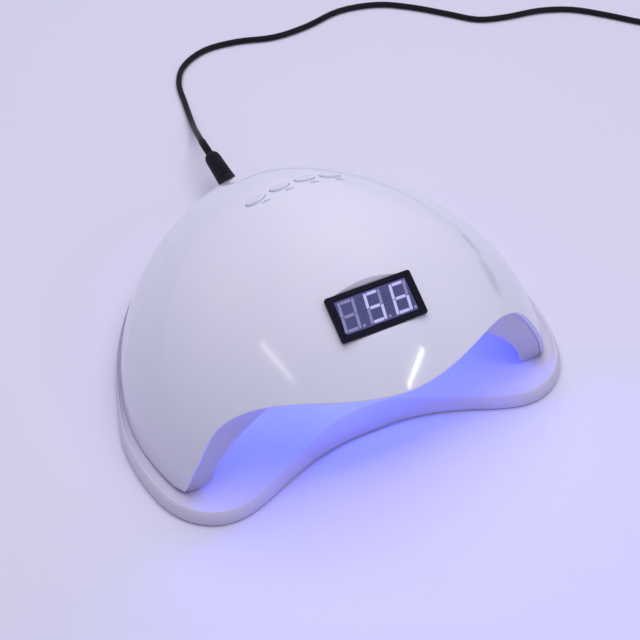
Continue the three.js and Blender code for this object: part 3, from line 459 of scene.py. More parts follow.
def seamDistance(point):
    # how far a point lies behind the seam's leaning plane
    lean = seam["lean"]
    return (point.y - seam["footY"] - lean * (point.z - footZ)) / math.hypot(1, lean)


def seamCorner(form, shift):
    return bisect(-0.3, 0.8, lambda b: seamDistance(spotOn(form, b, 0)) < shift)


def visorCorner(form):
    return bisect(-1.3, 0, lambda b: spotOn(form, b, 0).x < waveFootX)


def swingWhere(form, bearing, keeps, low=0.0, high=quarter):
    # the lowest swing down to which the cover is kept, coming down from the crown
    steps = 70
    last = high
    for i in range(1, steps + 1):
        swing = lerp(high, low, i / steps)
        if not keeps(spotOn(form, bearing, swing)):
            return bisect(swing, last, lambda s: not keeps(spotOn(form, bearing, s)), 22)
        last = swing
    return low


def easedCorner(a, corner, b, steps=4):
    return [a * (1 - t) ** 2 + corner * 2 * t * (1 - t) + b * t * t
            for t in (i / steps for i in range(steps + 1))]


def swingInFrom(form, bearing, swing, reach, limit):
    # the swing whose spot lies a given reach up the surface from another
    start = spotOn(form, bearing, swing)
    return bisect(swing, limit, lambda s: (spotOn(form, bearing, s) - start).length < reach, 20)


def meshPiece(name, verts, faces, material=None, body=None, slotName=None, smooth=True, sharpAngle=None):
    mesh = bpy.data.meshes.new(name)
    mesh.from_pydata([tuple(Vector(v) * mm) for v in verts], [], faces)
    work = bmesh.new()
    work.from_mesh(mesh)
    bmesh.ops.remove_doubles(work, verts=work.verts, dist=0.002 * mm)
    bmesh.ops.dissolve_degenerate(work, edges=work.edges, dist=0.001 * mm)
    bmesh.ops.recalc_face_normals(work, faces=work.faces)
    work.to_mesh(mesh)
    work.free()
    piece = bpy.data.objects.new(name, mesh)
    bpy.context.collection.objects.link(piece)
    if smooth:
        mesh.shade_smooth()
        if sharpAngle:
            mesh.set_sharp_from_angle(angle=math.radians(sharpAngle))
    if material:
        mesh.materials.append(material)
    if body:
        settle(piece, body, slotName)
    return piece


def settle(piece, body, slotName, *nodes):
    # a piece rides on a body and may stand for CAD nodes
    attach(piece, body)
    if nodes:
        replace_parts(piece, *nodes)


def gridFaces(columns, rows, wrapColumns, wrapRows):
    faces = []
    for i in range(columns if wrapColumns else columns - 1):
        for k in range(rows if wrapRows else rows - 1):
            a, b = i * rows, ((i + 1) % columns) * rows
            n = (k + 1) % rows
            faces.append((a + k, b + k, b + n, a + n))
    return faces


def stackFaces(count, levels=1):
    # the walls and both ends of a solid made of outlines one above the other
    walls = [(k * count + i, k * count + (i + 1) % count, (k + 1) * count + (i + 1) % count,
              (k + 1) * count + i)
             for k in range(levels) for i in range(count)]
    return [tuple(range(count))[::-1], tuple(range(levels * count, (levels + 1) * count))] + walls


def cutAway(piece, cutters, operation="DIFFERENCE"):
    # joins or cuts whole solids, and leaves no modifier behind
    for cutter in cutters:
        modifier = piece.modifiers.new("cut", "BOOLEAN")
        modifier.operation = operation
        modifier.solver = "EXACT"
        modifier.object = cutter
    bpy.context.view_layer.update()
    result = bpy.data.meshes.new_from_object(piece.evaluated_get(bpy.context.evaluated_depsgraph_get()))
    piece.modifiers.clear()
    old = piece.data
    piece.data = result
    result.name = piece.name
    bpy.data.meshes.remove(old)
    for cutter in cutters:
        bpy.data.meshes.remove(cutter.data)


def prism(outline, low, high, name="tool"):
    # a solid between two copies of an outline, from points of (low, high) pairs
    count = len(outline)
    verts = [low(x, y) for x, y in outline] + [high(x, y) for x, y in outline]
    return meshPiece(name, verts, stackFaces(count), smooth=False)


def joinSolids(name, solids):
    # several separate closed bodies as one tool
    verts, faces = [], []
    for v, f in solids:
        base = len(verts)
        verts += v
        faces += [tuple(base + i for i in face) for face in f]
    return meshPiece(name, verts, faces, smooth=False)


def ringAbout(axis, sides):
    # unit vectors all round an axis
    aside = axis.orthogonal().normalized()
    other = axis.cross(aside)
    return [aside * math.cos(tau * i / sides) + other * math.sin(tau * i / sides) for i in range(sides)]


def cutSolids(piece, solids, operation="DIFFERENCE"):
    cutAway(piece, [joinSolids("tool", solids)], operation)


def rodSolid(radius, start, end, sides):
    ring = [out * radius for out in ringAbout((end - start).normalized(), sides)]
    return [start + r for r in ring] + [end + r for r in ring], stackFaces(sides)


# The display's and the buttons' planes, which touch the dome at their roots.
display = dict(wide=42.1, high=21.5, forward=41.7, sunk=2.2, sideBar=3.2, endBar=2.5, thick=1.6, margin=0.6,
               corner=0.8, lensSunk=0.25, moduleWide=37.7, moduleHigh=18.4, backing=2, edge=4,
               lean=dict(depth=1.9, run=1.7))
button = dict(pitch=13, wide=10, deep=7.6, behind=46, flange=0.9, flangeTall=0.8,
              stemEnd=9.8, names=("10s", "30s", "60s", "99s"))
skin = domeOf(0)


class Plane:
    # a flat frame of reference: across, uphill and out of the dome
    def __init__(self, y):
        self.root = Vector((0, y, heightAt(skin, 0, y)))
        self.up = slopeAt(skin, 0, y)
        self.hill = self.up.cross(Vector((1, 0, 0)))

    def at(self, x, y, depth):
        return self.root + Vector((x, 0, 0)) + self.hill * y - self.up * depth


displayPlane = Plane(centreY - display["forward"])
buttonPlane = Plane(centreY + button["behind"])
buttonX = [(i - 1.5) * button["pitch"] for i in range(4)]


def roundedOutline(wide, high, corner, steps=6):
    points = []
    for cx, cy, start in ((1, -1, -1), (1, 1, 0), (-1, 1, 1), (-1, -1, 2)):
        for i in range(steps + 1):
            turn = quarter * (start + i / steps)
            points.append((cx * (wide / 2 - corner) + corner * math.cos(turn),
                           cy * (high / 2 - corner) + corner * math.sin(turn)))
    return points


def ovalOutline(wide, deep, sides=48):
    return [(wide / 2 * math.cos(tau * i / sides), deep / 2 * math.sin(tau * i / sides))
            for i in range(sides)]


def platePrism(plane, outline, top, bottom, x=0):
    return prism(outline, lambda u, v: plane.at(u + x, v, bottom), lambda u, v: plane.at(u + x, v, top))


def domeGrid(form, columns=128, rings=30, foot=None):
    # a closed solid dome, for joining and cutting
    rows = []
    for i in range(columns):
        bearing = tau * i / columns
        column = [spotOn(form, bearing, lerp(quarter, 0, k / rings)) for k in range(rings + 1)]
        if foot is not None:
            column.append(Vector((column[-1].x, column[-1].y, foot)))
        column.append(Vector((0, centreY, column[-1].z)))
        rows.append(column)
    verts = [p for column in rows for p in column]
    return meshPiece("tool", verts, gridFaces(columns, len(rows[0]), True, False), smooth=False)


coverGrid = dict(seamColumns=90, sideColumns=30, visorColumns=130, rings=44)
footRound = dict(blend=6, steep=1.7)


def coverBearings(form, shift):
    back, corner = seamCorner(form, shift), visorCorner(form)
    return back, math.pi - back, math.pi - corner, tau + corner, tau + back


def columnPlan():
    counts = [coverGrid["seamColumns"], coverGrid["sideColumns"], coverGrid["visorColumns"],
              coverGrid["sideColumns"]]
    plan = []
    for part, count in enumerate(counts):
        shares = [i / count for i in range(count)]
        if part == 2:
            shares = [(1 - math.cos(math.pi * share)) / 2 for share in shares]
        elif part:
            shares = [share ** 0.6 if part == 3 else 1 - (1 - share) ** 0.6 for share in shares]
        plan += [(part, share) for share in shares]
    return plan


def footMargin(point):
    # how far a point lies inside the cover's foot line and the visor's edge, with their corner
    # rounded; below zero is cut off
    above = point.z - footZ
    if point.y > centreY - visor["cutTo"]:
        return above
    inside = (point.z - waveHeight(point.x)) / footRound["steep"]
    blend = footRound["blend"]
    near = max(0, blend - abs(above - inside)) / blend
    return min(above, inside) - near * near * blend / 4


def wallInside(form, bearing, swing):
    # the spot of the inner wall that lies square behind a spot of the outer skin
    spot = spotOn(form, bearing, swing)
    facing = facingAt(form, bearing, max(spot.z, footZ + 0.5))
    return swingOf(domeOf(-dome["wall"]), spot - facing * dome["wall"])


toolOut, toolIn = 8, 12  # how far cutting tools run past the cover's skin, outwards and inwards


def makeFrontCover():
    outer, inner = domeOf(0), domeOf(-dome["wall"])
    shift = -seam["gap"] / 2
    outerEnds, innerEnds = coverBearings(outer, shift), coverBearings(inner, shift)
    rings = coverGrid["rings"]

    def keepsSeam(point):
        return seamDistance(point) < shift

    def keepsFoot(point):
        return footMargin(point) > 0

    footBearing = wallInside(outer, outerEnds[3], 0)[0]
    innerEnds = (innerEnds[0], innerEnds[1], math.pi - footBearing, tau + footBearing, innerEnds[4])
    lips = (seam["lip"], baseLip, visor["lip"], baseLip)
    verts = []
    plan = columnPlan()
    for part, share in plan:
        bearing = lerp(outerEnds[part], outerEnds[part + 1], share)
        low = swingWhere(outer, bearing, keepsFoot if part else keepsSeam)
        if part == 2:
            innerBearing, innerLow = wallInside(outer, bearing, low)
            innerBearing %= tau
        else:
            innerBearing = lerp(innerEnds[part], innerEnds[part + 1], share)
            innerLow = low if part else swingWhere(inner, innerBearing, keepsSeam)
        before = lips[(part - 1) % 4]
        lip = lerp(before, lips[part], smoothstep(share, 0, 0.06 if part in (0, 2) else 0.25))
        end, innerEnd = spotOn(outer, bearing, low), spotOn(inner, innerBearing, innerLow)
        start = swingInFrom(outer, bearing, low, lip, quarter)
        innerStart = swingInFrom(inner, innerBearing, innerLow, lip, quarter)
        across = innerEnd - end
        step = across.normalized() * min(lip, across.length * 0.45)
        column = [spotOn(outer, bearing, lerp(quarter, start, (k / rings) ** 0.9)) for k in range(rings)]
        column += easedCorner(spotOn(outer, bearing, start), end, end + step)
        column += easedCorner(innerEnd - step, innerEnd, spotOn(inner, innerBearing, innerStart))
        column += [spotOn(inner, innerBearing, lerp(innerStart, quarter, k / rings))
                   for k in range(1, rings + 1)]
        verts += column
    faces = gridFaces(len(plan), len(verts) // len(plan), True, False)
    cover = meshPiece("frontCover", verts, faces, coverGloss)
    # the display's seat: a plate under the skin, with a recess and a hole through it
    edge = display["edge"]
    plate = platePrism(displayPlane, roundedOutline(display["wide"] + 2 * edge, display["high"] + 2 * edge,
                                                    edge),
                       display["sunk"], display["sunk"] + display["backing"])
    cutAway(plate, [domeGrid(domeOf(-dome["wall"] / 2))], "INTERSECT")
    cutAway(cover, [plate], "UNION")
    recess = platePrism(displayPlane, roundedOutline(display["wide"] + 2 * display["margin"],
                        display["high"] + 2 * display["margin"], display["corner"] + display["margin"]),
                        -toolOut, display["sunk"])
    window = platePrism(displayPlane, roundedOutline(display["moduleWide"] + 2 * clearance,
                                                     display["moduleHigh"] + 2 * clearance,
                        display["corner"]), -toolOut, toolIn)
    # the wall behind the display leans back, and shows as a crescent
    lean = display["lean"]
    half = display["wide"] / 2 + display["margin"]
    brink = display["high"] / 2 + display["margin"]
    slope = prism([(brink - 1, lean["depth"]), (brink - 0.1, lean["depth"]),
                   (brink + lean["run"] * (lean["depth"] + 4), -4), (brink - 1, -4)],
                  lambda v, depth: displayPlane.at(-half, v, depth), lambda v,
                  depth: displayPlane.at(half, v, depth))
    holes = [platePrism(buttonPlane, ovalOutline(button["wide"] + 2 * clearance,
                                                 button["deep"] + 2 * clearance), -toolOut, toolIn, x)
             for x in buttonX]
    cutAway(cover, [recess, window, slope] + holes)
    finishCover(cover, outer)
    return cover


def finishCover(cover, form):
    # normals on the outer skin come from the form itself, so that gloss runs evenly
    mesh = cover.data
    mesh.shade_smooth()
    mesh.set_sharp_from_angle(angle=math.radians(35))
    mesh.materials.clear()
    mesh.materials.append(coverGloss)
    near = 0.02
    onSkin = {}
    for vertex in mesh.vertices:
        point = vertex.co / mm
        if point.z > footZ + 2:
            if abs(heightAt(form, point.x, point.y) - point.z) < near:
                onSkin[vertex.index] = slopeAt(form, point.x, point.y)
    normals = [Vector((0, 0, 0))] * len(mesh.loops)
    for face in mesh.polygons:
        for corner in face.loop_indices:
            index = mesh.loops[corner].vertex_index
            if index in onSkin and face.normal.dot(onSkin[index]) > 0.985:
                normals[corner] = onSkin[index]
    mesh.normals_split_custom_set(normals)


settle(makeFrontCover(), "housing", "white_gloss", "front_cover")
print("front cover made")


plugHole = dict(radius=4.8, height=19, near=80, far=130)


def makeRearCover():
    outer, inner = domeOf(0), domeOf(-dome["wall"])
    shift = seam["gap"] / 2
    outerEnd, innerEnd = seamCorner(outer, shift), seamCorner(inner, shift)
    columns, rings = coverGrid["seamColumns"], 30

    def before(point):
        return seamDistance(point) < shift

    verts = []
    for i in range(columns + 1):
        share = i / columns
        rows = []
        for form, end in ((outer, outerEnd), (inner, innerEnd)):
            bearing = lerp(end, math.pi - end, share)
            top = swingWhere(form, bearing, before)
            high, low = spotOn(form, bearing, top), spotOn(form, bearing, 0)
            reach = 0.3 * (high - low).length
            lipTop, lipLow = min(seam["lip"], reach), min(baseLip, reach)
            start = bisect(0, top, lambda s: (spotOn(form, bearing, s) - high).length > lipTop, 20)
            stop = swingInFrom(form, bearing, 0, lipLow, top)
            rows.append((form, bearing, high, low, start, stop, lipTop, lipLow))
        (form, bearing, high, low, start, stop, lipTop, lipLow), other = rows[0], rows[1]
        across, acrossLow = other[2] - high, other[3] - low
        step = across.normalized() * min(lipTop, across.length * 0.45)
        stepLow = acrossLow.normalized() * min(lipLow, acrossLow.length * 0.45)
        column = easedCorner(high + step, high, spotOn(form, bearing, start))
        column += [spotOn(form, bearing, lerp(start, stop, k / rings)) for k in range(1, rings)]
        column += easedCorner(spotOn(form, bearing, stop), low, low + stepLow)
        column += easedCorner(other[3] - stepLow, other[3], spotOn(other[0], other[1], other[5]))
        column += [spotOn(other[0], other[1], lerp(other[5], other[4], k / rings)) for k in range(1, rings)]
        column += easedCorner(spotOn(other[0], other[1], other[4]), other[2], other[2] - step)
        verts += column
    faces = gridFaces(columns + 1, len(verts) // (columns + 1), False, True)
    cover = meshPiece("rearCover", verts, faces, coverGloss)
    # the hole for the plug's nose
    near, far = (Vector((0, y, plugHole["height"])) for y in (plugHole["near"], plugHole["far"]))
    cutSolids(cover, [rodSolid(plugHole["radius"], near, far, 40)])
    finishCover(cover, outer)
    return cover


settle(makeRearCover(), "housing", "white_gloss", "rear_cover")
print("rear cover made")


# The free lead: plug, a loose lie over the table, a tied coil and the adapter at its end.
lead = dict(thick=3.5, length=1.23, sides=20, start=(0, 129, 19),
            route=((0, 133, 18.95), (0.3, 140.5, 18.1), (2.5, 155, 12.6), (5.5, 171, 6), (8.5, 186, 2.6),
                   (10.8, 199, 1.95), (14.3, 216.8, 1.9), (23.5, 231.3, 1.9), (40.9, 240.1, 1.9),
                   (62.3, 239.4, 1.9), (85.6, 233.3, 1.9), (108.7, 234.4, 1.9), (134.4, 239.9, 1.9),
                   (159.4, 235.3, 1.9), (178.4, 222.9, 1.9), (195.4, 207, 1.9), (210.1, 193.1, 1.9),
                   (228, 187.4, 1.9), (250.1, 184, 1.9), (269.6, 175.8, 1.9), (286, 161.7, 1.9),
                   (303, 144.5, 1.9), (320, 130.8, 2.2)))
coil = dict(middle=19.3, pitch=4.15, loops=3, layerGap=0.55, lift=0.9, steps=24, start=(340, 117),
            heading=-34)
tail = ((0.3, 6.7), (3.5, 6.7), (17, 10.85), (30.5, 15), (33.7, 15))


def leadLine():
    turn = math.radians(coil["heading"])
    heading = Vector((math.cos(turn), math.sin(turn), 0))
    outward = Vector((heading.y, -heading.x, 0))
    outer = coil["middle"] + coil["pitch"] * coil["loops"] / 2
    middle = Vector((*coil["start"], 0)) - outward * outer
    low = coil["lift"] + lead["thick"] / 2
    high = low + lead["thick"] + coil["layerGap"]
    wound = []
    for i in range(2 * coil["loops"] * coil["steps"] + 1):
        loop = i / coil["steps"]
        radius = outer - coil["pitch"] * (coil["loops"] - abs(loop - coil["loops"]))
        climb = smoothstep(loop, coil["loops"] - 0.25, coil["loops"] + 0.25)
        spot = middle + outward * radius * math.cos(tau * loop) + heading * radius * math.sin(tau * loop)
        wound.append(Vector((spot.x, spot.y, lerp(low, high, climb))))
    first, last = wound[0] - heading * lead["thick"], wound[-1] + heading * lead["thick"]
    ending = [Vector((last.x, last.y, 0)) + heading * far + Vector((0, 0, z)) for far, z in tail]
    return [Vector(lead["start"])] + [Vector(p) for p in lead["route"]] + [first] + wound + ending


def followPlug(piece):
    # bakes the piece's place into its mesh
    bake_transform(piece)


def tubeAlong(name, line, radii, sides, material):
    # a closed tube along a line, with a radius for each of its points
    verts = []
    for i, (spot, radius) in enumerate(zip(line, radii)):
        way = (line[min(i + 1, len(line) - 1)] - line[max(i - 1, 0)]).normalized()
        side = way.cross(up).normalized()
        rise = side.cross(way)
        verts += [spot + side * math.cos(tau * k / sides) * radius + rise * math.sin(tau * k / sides) * radius
                  for k in range(sides)]
    piece = meshPiece(name, verts, stackFaces(sides, len(line) - 1), material, sharpAngle=50)
    followPlug(piece)
    return piece


def makeLead():
    line = [Vector(p) for p in splinePoints([tuple(p) for p in leadLine()], 4)]
    cable = tubeAlong("leadCable", line, [lead["thick"] / 2] * len(line), lead["sides"], leadJacket)
    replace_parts(cable, "lead", "lead_coil", "lead_tail")


makeLead()
print("lead made")


# The reflector: a thin dome with a flat rim, and cheeks with a rounded edge at both sides of
# the opening. Lamps look through round holes.
# dome: shares of the radius, and how far below the tip
bead = dict(radius=2.5, clear=0.45, poke=1.1, sides=24,
            dome=((1, 1.6), (0.93, 1.1), (0.68, 0.3), (0.374, 0.05), (0, 0)))
strip = dict(thick=1.2, wide=9, bearings=(-8, 188), rows=((0.313, 11), (0.634, 9)), columns=120)
roof = dict(radius=34, thick=1.2, ring=24, count=6)
sensor = dict(radius=2.2, forward=36.5)
reflectorGrid = dict(rimColumns=150, cheekColumns=100, faceRings=34, backRings=14)
mirrorFace, mirrorBack = mirrorOf(0), mirrorOf(mirror["wall"])
insideCovers = domeOf(-dome["wall"] - clearance)
cheekY = centreY - mirror["cheekAt"]
rimLow, rimHigh = footZ, footZ + mirror["rim"]
rimSink = 0.15  # how far screws and magnets lie inside their faces


def archPoint(form, y, foot, turn, top=None):
    # where a ray in an upright plane leaves a form, or meets the plane's top
    def inside(reach):
        x, z = reach * math.cos(turn), foot + reach * math.sin(turn)
        return (top is None or z < top) and heightAt(form, x, y) > z and abs(x) < form["side"]
    reach = bisect(0, 2 * dome["side"], inside, 30)
    return Vector((reach * math.cos(turn), y, foot + reach * math.sin(turn)))


def bearingWhere(form, height, y):
    return bisect(-quarter, 0.3, lambda b: spotAtHeight(form, b, height).y < y)


def visorEdge():
    # the visor's edge on the covers' inside, as (height, y) pairs from the foot up
    pairs = []
    for x, z in waveLine[::-1]:
        if footZ <= z < cheek["upTo"] + 4:
            y = bisect(centreY - skin["front"], centreY, lambda y: heightAt(skin, x, y) < z)
            facing = facingAt(skin, math.atan2(y - centreY, x), max(z, footZ + 0.5))
            pairs.append((z, y - facing.y * dome["wall"]))
    return pairs


# The cheeks' outer edge follows the visor, and their inner foot is well rounded.
cheek = dict(upTo=56, upFrom=42, behind=0.5, edge=1.8, footEdge=4.5, footReach=14)
edgeLine = visorEdge()


def cheekFront(height):
    y = edgeLine[0][1]
    for (z0, y0), (z1, y1) in zip(edgeLine, edgeLine[1:]):
        if z0 <= height <= z1 and z1 > z0:
            y = lerp(y0, y1, (height - z0) / (z1 - z0))
    return lerp(y + cheek["behind"], cheekY, smoothstep(height, cheek["upFrom"], cheek["upTo"]))


footCorner = spotAtHeight(mirrorFace, bearingWhere(mirrorFace, rimLow, cheekY), rimLow)


def makeReflector():
    plan = [(0, i / reflectorGrid["rimColumns"]) for i in range(reflectorGrid["rimColumns"])]
    plan += [(1, i / reflectorGrid["cheekColumns"]) for i in range(reflectorGrid["cheekColumns"])]
    backY = cheekY + mirror["cheek"]
    top = mirrorFace["crown"]

    def around(form, height, y, part, share, top=None):
        if part == 0:
            start = bearingWhere(form, height, y)
            return spotAtHeight(form, lerp(start, math.pi - start, share), height)
        return archPoint(form, y, height, math.pi * (1 - share), top)

    verts = []
    for part, share in plan:
        faceEnd = around(mirrorFace, rimLow, cheekY, part, share)
        outLow = around(insideCovers, rimLow, cheekFront(rimLow), part, share, top)
        for again in range(3 * part):
            outLow = around(insideCovers, rimLow, cheekFront(outLow.z), part, share, top)
        outHigh = around(insideCovers, rimHigh, backY, part, share, top - 0.01)
        backEnd = around(mirrorBack, rimHigh, backY, part, share)
        bearing, low = swingOf(mirrorFace, faceEnd)
        corner = Vector((math.copysign(faceEnd.x, 1), faceEnd.y, faceEnd.z)) - footCorner
        nearFoot = 1 - smoothstep(corner.length, 0, cheek["footReach"])
        reach = cheek["edge"] + cheek["footEdge"] * nearFoot
        start = swingInFrom(mirrorFace, bearing, low, reach, quarter)
        rings = reflectorGrid["faceRings"]
        column = [spotOn(mirrorFace, bearing, lerp(quarter, start, (k / rings) ** 0.95))
                  for k in range(rings)]
        across = outLow - faceEnd
        step = across.normalized() * min(reach, across.length * 0.6)
        column += easedCorner(spotOn(mirrorFace, bearing, start), faceEnd, faceEnd + step, 10)
        column += [(faceEnd + step).lerp(outLow, share) for share in (0.25, 0.5, 0.75)]
        column += [outLow, outHigh, outHigh.lerp(backEnd, 0.5)]
        backBearing, backLow = swingOf(mirrorBack, backEnd)
        rings = reflectorGrid["backRings"]
        column += [spotOn(mirrorBack, backBearing, lerp(backLow, quarter, k / rings))
                   for k in range(rings + 1)]
        verts += column
    faces = gridFaces(len(plan), len(verts) // len(plan), True, False)
    reflector = meshPiece("reflectorShell", verts, faces, mirrorSilver)
    cutAway(reflector, [joinSolids("tool", lampHoles()), joinSolids("tool", rimHoles())])
    reflector.data.shade_smooth()
    reflector.data.set_sharp_from_angle(angle=math.radians(50))
    return reflector


def lampPlaces():
    # each lamp's row, the spot on the mirror's face and the way into the hand space
    places = []
    start, end = (math.radians(b) for b in strip["bearings"])
    for row, (share, count) in enumerate(strip["rows"]):
        z = footZ + share * (mirrorFace["crown"] - footZ)
        for i in range(count):
            bearing = lerp(start, end, i / (count - 1))
            places.append((row, spotAtHeight(mirrorFace, bearing, z), -facingAt(mirrorFace, bearing, z)))
    for i in range(roof["count"] + 1):
        ring = roof["ring"] if i < roof["count"] else 0
        turn = tau * (i + 0.5) / roof["count"]
        x, y = ring * math.cos(turn), centreY + ring * math.sin(turn)
        places.append((2, Vector((x, y, heightAt(mirrorFace, x, y))), Vector((0, 0, -1))))
    return places


def lampHoles():
    reach = bead["radius"] + bead["clear"]
    holes = [rodSolid(reach, face + inward * 3, face - inward * 4, bead["sides"])
             for row, face, inward in lampPlaces()]
    eyeY = centreY - sensor["forward"]
    eye = heightAt(mirrorFace, 0, eyeY)
    return holes + [rodSolid(sensor["radius"] + clearance, Vector((0, eyeY, eye - 6)),
                             Vector((0, eyeY, eye + 8)), 32)]


screw = dict(shank=1.2, head=2.4, headTall=1.2, bearings=(-15, 32, 148, 195))
magnet = dict(radius=3, thick=1.5, clear=0.3, wall=1.4, root=0.4, bearings=(-6, 55, 125, 186))
rimMiddle = mirrorOf((mirror["sideIn"] - dome["wall"] + mirror["wall"]) / 2)


def rimSpot(bearing, z):
    spot = spotOn(rimMiddle, math.radians(bearing), 0)
    return Vector((spot.x, spot.y, z))


def rimHoles():
    low, high = rimLow - 4, rimHigh + 4
    headTop = rimLow + rimSink + screw["headTall"] + clearance
    holes = []
    for bearing in screw["bearings"]:
        holes.append(rodSolid(screw["head"] + clearance, rimSpot(bearing, low), rimSpot(bearing, headTop),
                              24))
        holes.append(rodSolid(screw["shank"] + clearance, rimSpot(bearing, headTop - 0.01),
                              rimSpot(bearing, high), 16))
    top = rimLow + rimSink + magnet["thick"] + magnet["clear"]
    for bearing in magnet["bearings"]:
        holes.append(rodSolid(magnet["radius"] + magnet["clear"], rimSpot(bearing, low),
                              rimSpot(bearing, top), 32))
    return holes


settle(makeReflector(), "housing", "silvered", "reflector")
print("reflector made")


def latheSolid(profile, root, axis, sides):
    # turns (radius, height) pairs about an axis; the ends close on the axis
    verts = [root + axis * height + out * radius for out in ringAbout(axis, sides) for radius,
             height in profile]
    return verts, gridFaces(sides, len(profile), True, False)


def lathePiece(name, profile, root, axis, sides, material, body, slotName, sharpAngle=35):
    return meshPiece(name, *latheSolid(profile, root, axis, sides), material, body, slotName,
                     sharpAngle=sharpAngle)


def roundedProfile(points, reach):
    # softens each inner corner of a profile
    line = [Vector(p) for p in points]
    result = [line[0]]
    for before, corner, after in zip(line, line[1:], line[2:]):
        near = min(reach, (before - corner).length * 0.45, (after - corner).length * 0.45)
        result += easedCorner(corner + (before - corner).normalized() * near, corner,
                              corner + (after - corner).normalized() * near, 3)
    return [tuple(p) for p in result + [line[-1]]]


def makeStrip(row, name, node):
    z = footZ + strip["rows"][row][0] * (mirrorFace["crown"] - footZ)
    start, end = (math.radians(b) for b in strip["bearings"])
    slack = 2.0 * bead["radius"] / mirrorFace["side"]
    near, far = mirror["wall"] + clearance, mirror["wall"] + clearance + strip["thick"]
    verts = []
    columns = strip["columns"]
    for i in range(columns + 1):
        bearing = lerp(start - slack, end + slack, i / columns)
        corners = [spotAtHeight(mirrorOf(grow), bearing, z + side * strip["wide"] / 2)
                   for side, grow in ((-1, near), (-1, far), (1, far), (1, near))]
        verts += [a.lerp(b, share) for a, b in zip(corners, corners[1:] + corners[:1])
                  for share in (0.02, 0.98)]
    band = meshPiece(name, verts, stackFaces(8, columns), stripWhite, "housing", "strip_white", sharpAngle=30)
    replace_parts(band, node)


roofLow = mirrorBack["crown"] + clearance


def makeLamps():
    # one domed lamp in each hole
    solids = []
    for row, face, inward in lampPlaces():
        if row < 2:
            root = face - inward * (mirror["wall"] + clearance + strip["thick"] / 2)
        else:
            root = Vector((face.x, face.y, roofLow + roof["thick"] / 2))
        long = (face - root).length + bead["poke"]
        profile = [(0, 0), (bead["radius"], 0)]
        profile += [(bead["radius"] * wide, long - down) for wide, down in bead["dome"]]
        solids.append(latheSolid(profile, root, inward, bead["sides"]))
    lamps = joinSolids("lampBeads", solids)
    lamps.data.shade_smooth()
    lamps.data.set_sharp_from_angle(angle=math.radians(40))
    lamps.data.materials.append(lampEpoxy)
    settle(lamps, "housing", "strip_white")


makeStrip(0, "lampStripLow", "led_strip_low")
makeStrip(1, "lampStripHigh", "led_strip_high")
makeLamps()
roofPlate = lathePiece("lampRoofPlate", roundedProfile([(0, 0), (roof["radius"], 0),
                                                        (roof["radius"], roof["thick"]),
                       (0, roof["thick"])], 0.25), Vector((0, centreY, roofLow)), up, 72, stripWhite,
                       "housing", "strip_white")
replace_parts(roofPlate, "led_roof_plate")
print("lamps made")


# The tray: a low dish with a rounded rim, drawn in to a hollow curve at the front.
tray = dict(margin=7.5, rearMargin=3, under=1, floor=5, hollow=1.6, hollowIn=12,
            rampHalf=46, lobeFrom=62, lobeTo=80, hub=30, rib=3, steps=320, roundSteps=14, narrow=(-8, 16),
            across=(0, 0.14, 0.28, 0.42, 0.56, 0.65, 0.735, 0.812, 0.881, 0.934, 0.969, 0.99),
            reach=(0.375, 0.38, 0.408, 0.457, 0.516, 0.542, 0.543, 0.516, 0.462, 0.384, 0.278, 0.132),
            ribs=(-0.18, 0.42))
# The rim's section: inset, height, and how far the middle of the front and the two lobes
# carry each point inwards.
rimLine = ((1, 0.45, 0, 0), (0.3, 0.75, 0, 0), (0, 1.6, 0, 0), (0.35, 4.2, 2, 0), (1.5, 6.7, 5, 0),
           (2.5, 7.85, 6.6, 0), (2.8, 8, 7, 0), (3.2, 7.85, 7.4, 0.1), (4.6, 6.75, 9.5, 0.8),
           (6.4, 6.05, 13, 2.2),
           (8, 5.6, 16.5, 4), (9, 5.12, 18, 4.8), (9.8, 5, 19, 5.2))
foot = dict(radius=6, inset=1.2, pad=2, shares=(("foot_front_left", -0.74, 0.418),
                                                ("foot_front_right", 0.74, 0.418),
            ("foot_rear_left", -0.62, -0.54), ("foot_rear_right", 0.62, -0.54),
            ("foot_rear_middle", 0, -0.813)))
trayHalf = dome["side"] + tray["margin"]


def marginAt(bearing):
    start, end = (math.radians(b) for b in tray["narrow"])
    return lerp(tray["margin"], tray["rearMargin"], smoothstep(bearing, start, end))


def roundLoop(points, count):
    # an evenly spaced closed line through points, with even speed at each
    fine = []
    total = len(points)
    for i in range(total):
        p0, p1, p2, p3 = (points[(i + k) % total] for k in (-1, 0, 1, 2))
        d0, d1, d2 = ((b - a).length ** 0.5 for a, b in ((p0, p1), (p1, p2), (p2, p3)))
        t1 = ((p1 - p0) / d0 - (p2 - p0) / (d0 + d1) + (p2 - p1) / d1) * d1
        t2 = ((p2 - p1) / d1 - (p3 - p1) / (d1 + d2) + (p3 - p2) / d2) * d1
        for k in range(20):
            t = k / 20
            fine.append(p1 + t1 * t + (3 * (p2 - p1) - 2 * t1 - t2) * t * t
                        + (t1 + t2 - 2 * (p2 - p1)) * t ** 3)
    fine.append(fine[0])
    far = [0]
    for a, b in zip(fine, fine[1:]):
        far.append(far[-1] + (b - a).length)
    result, k = [], 0
    for i in range(count):
        goal = far[-1] * i / count
        while far[k + 1] < goal:
            k += 1
        result.append(fine[k].lerp(fine[k + 1], (goal - far[k]) / (far[k + 1] - far[k])))
    return result


def trayOutline():
    right = [Vector((share * trayHalf, centreY - reach * trayHalf, 0))
             for share, reach in zip(tray["across"], tray["reach"])]
    for i in range(tray["roundSteps"] + 1):
        bearing = quarter * i / tray["roundSteps"]
        right.append(spotOn(domeOf(marginAt(bearing)), bearing, 0) * Vector((1, 1, 0)))
    return roundLoop(right + [Vector((-p.x, p.y, 0)) for p in right[-2:0:-1]], tray["steps"])


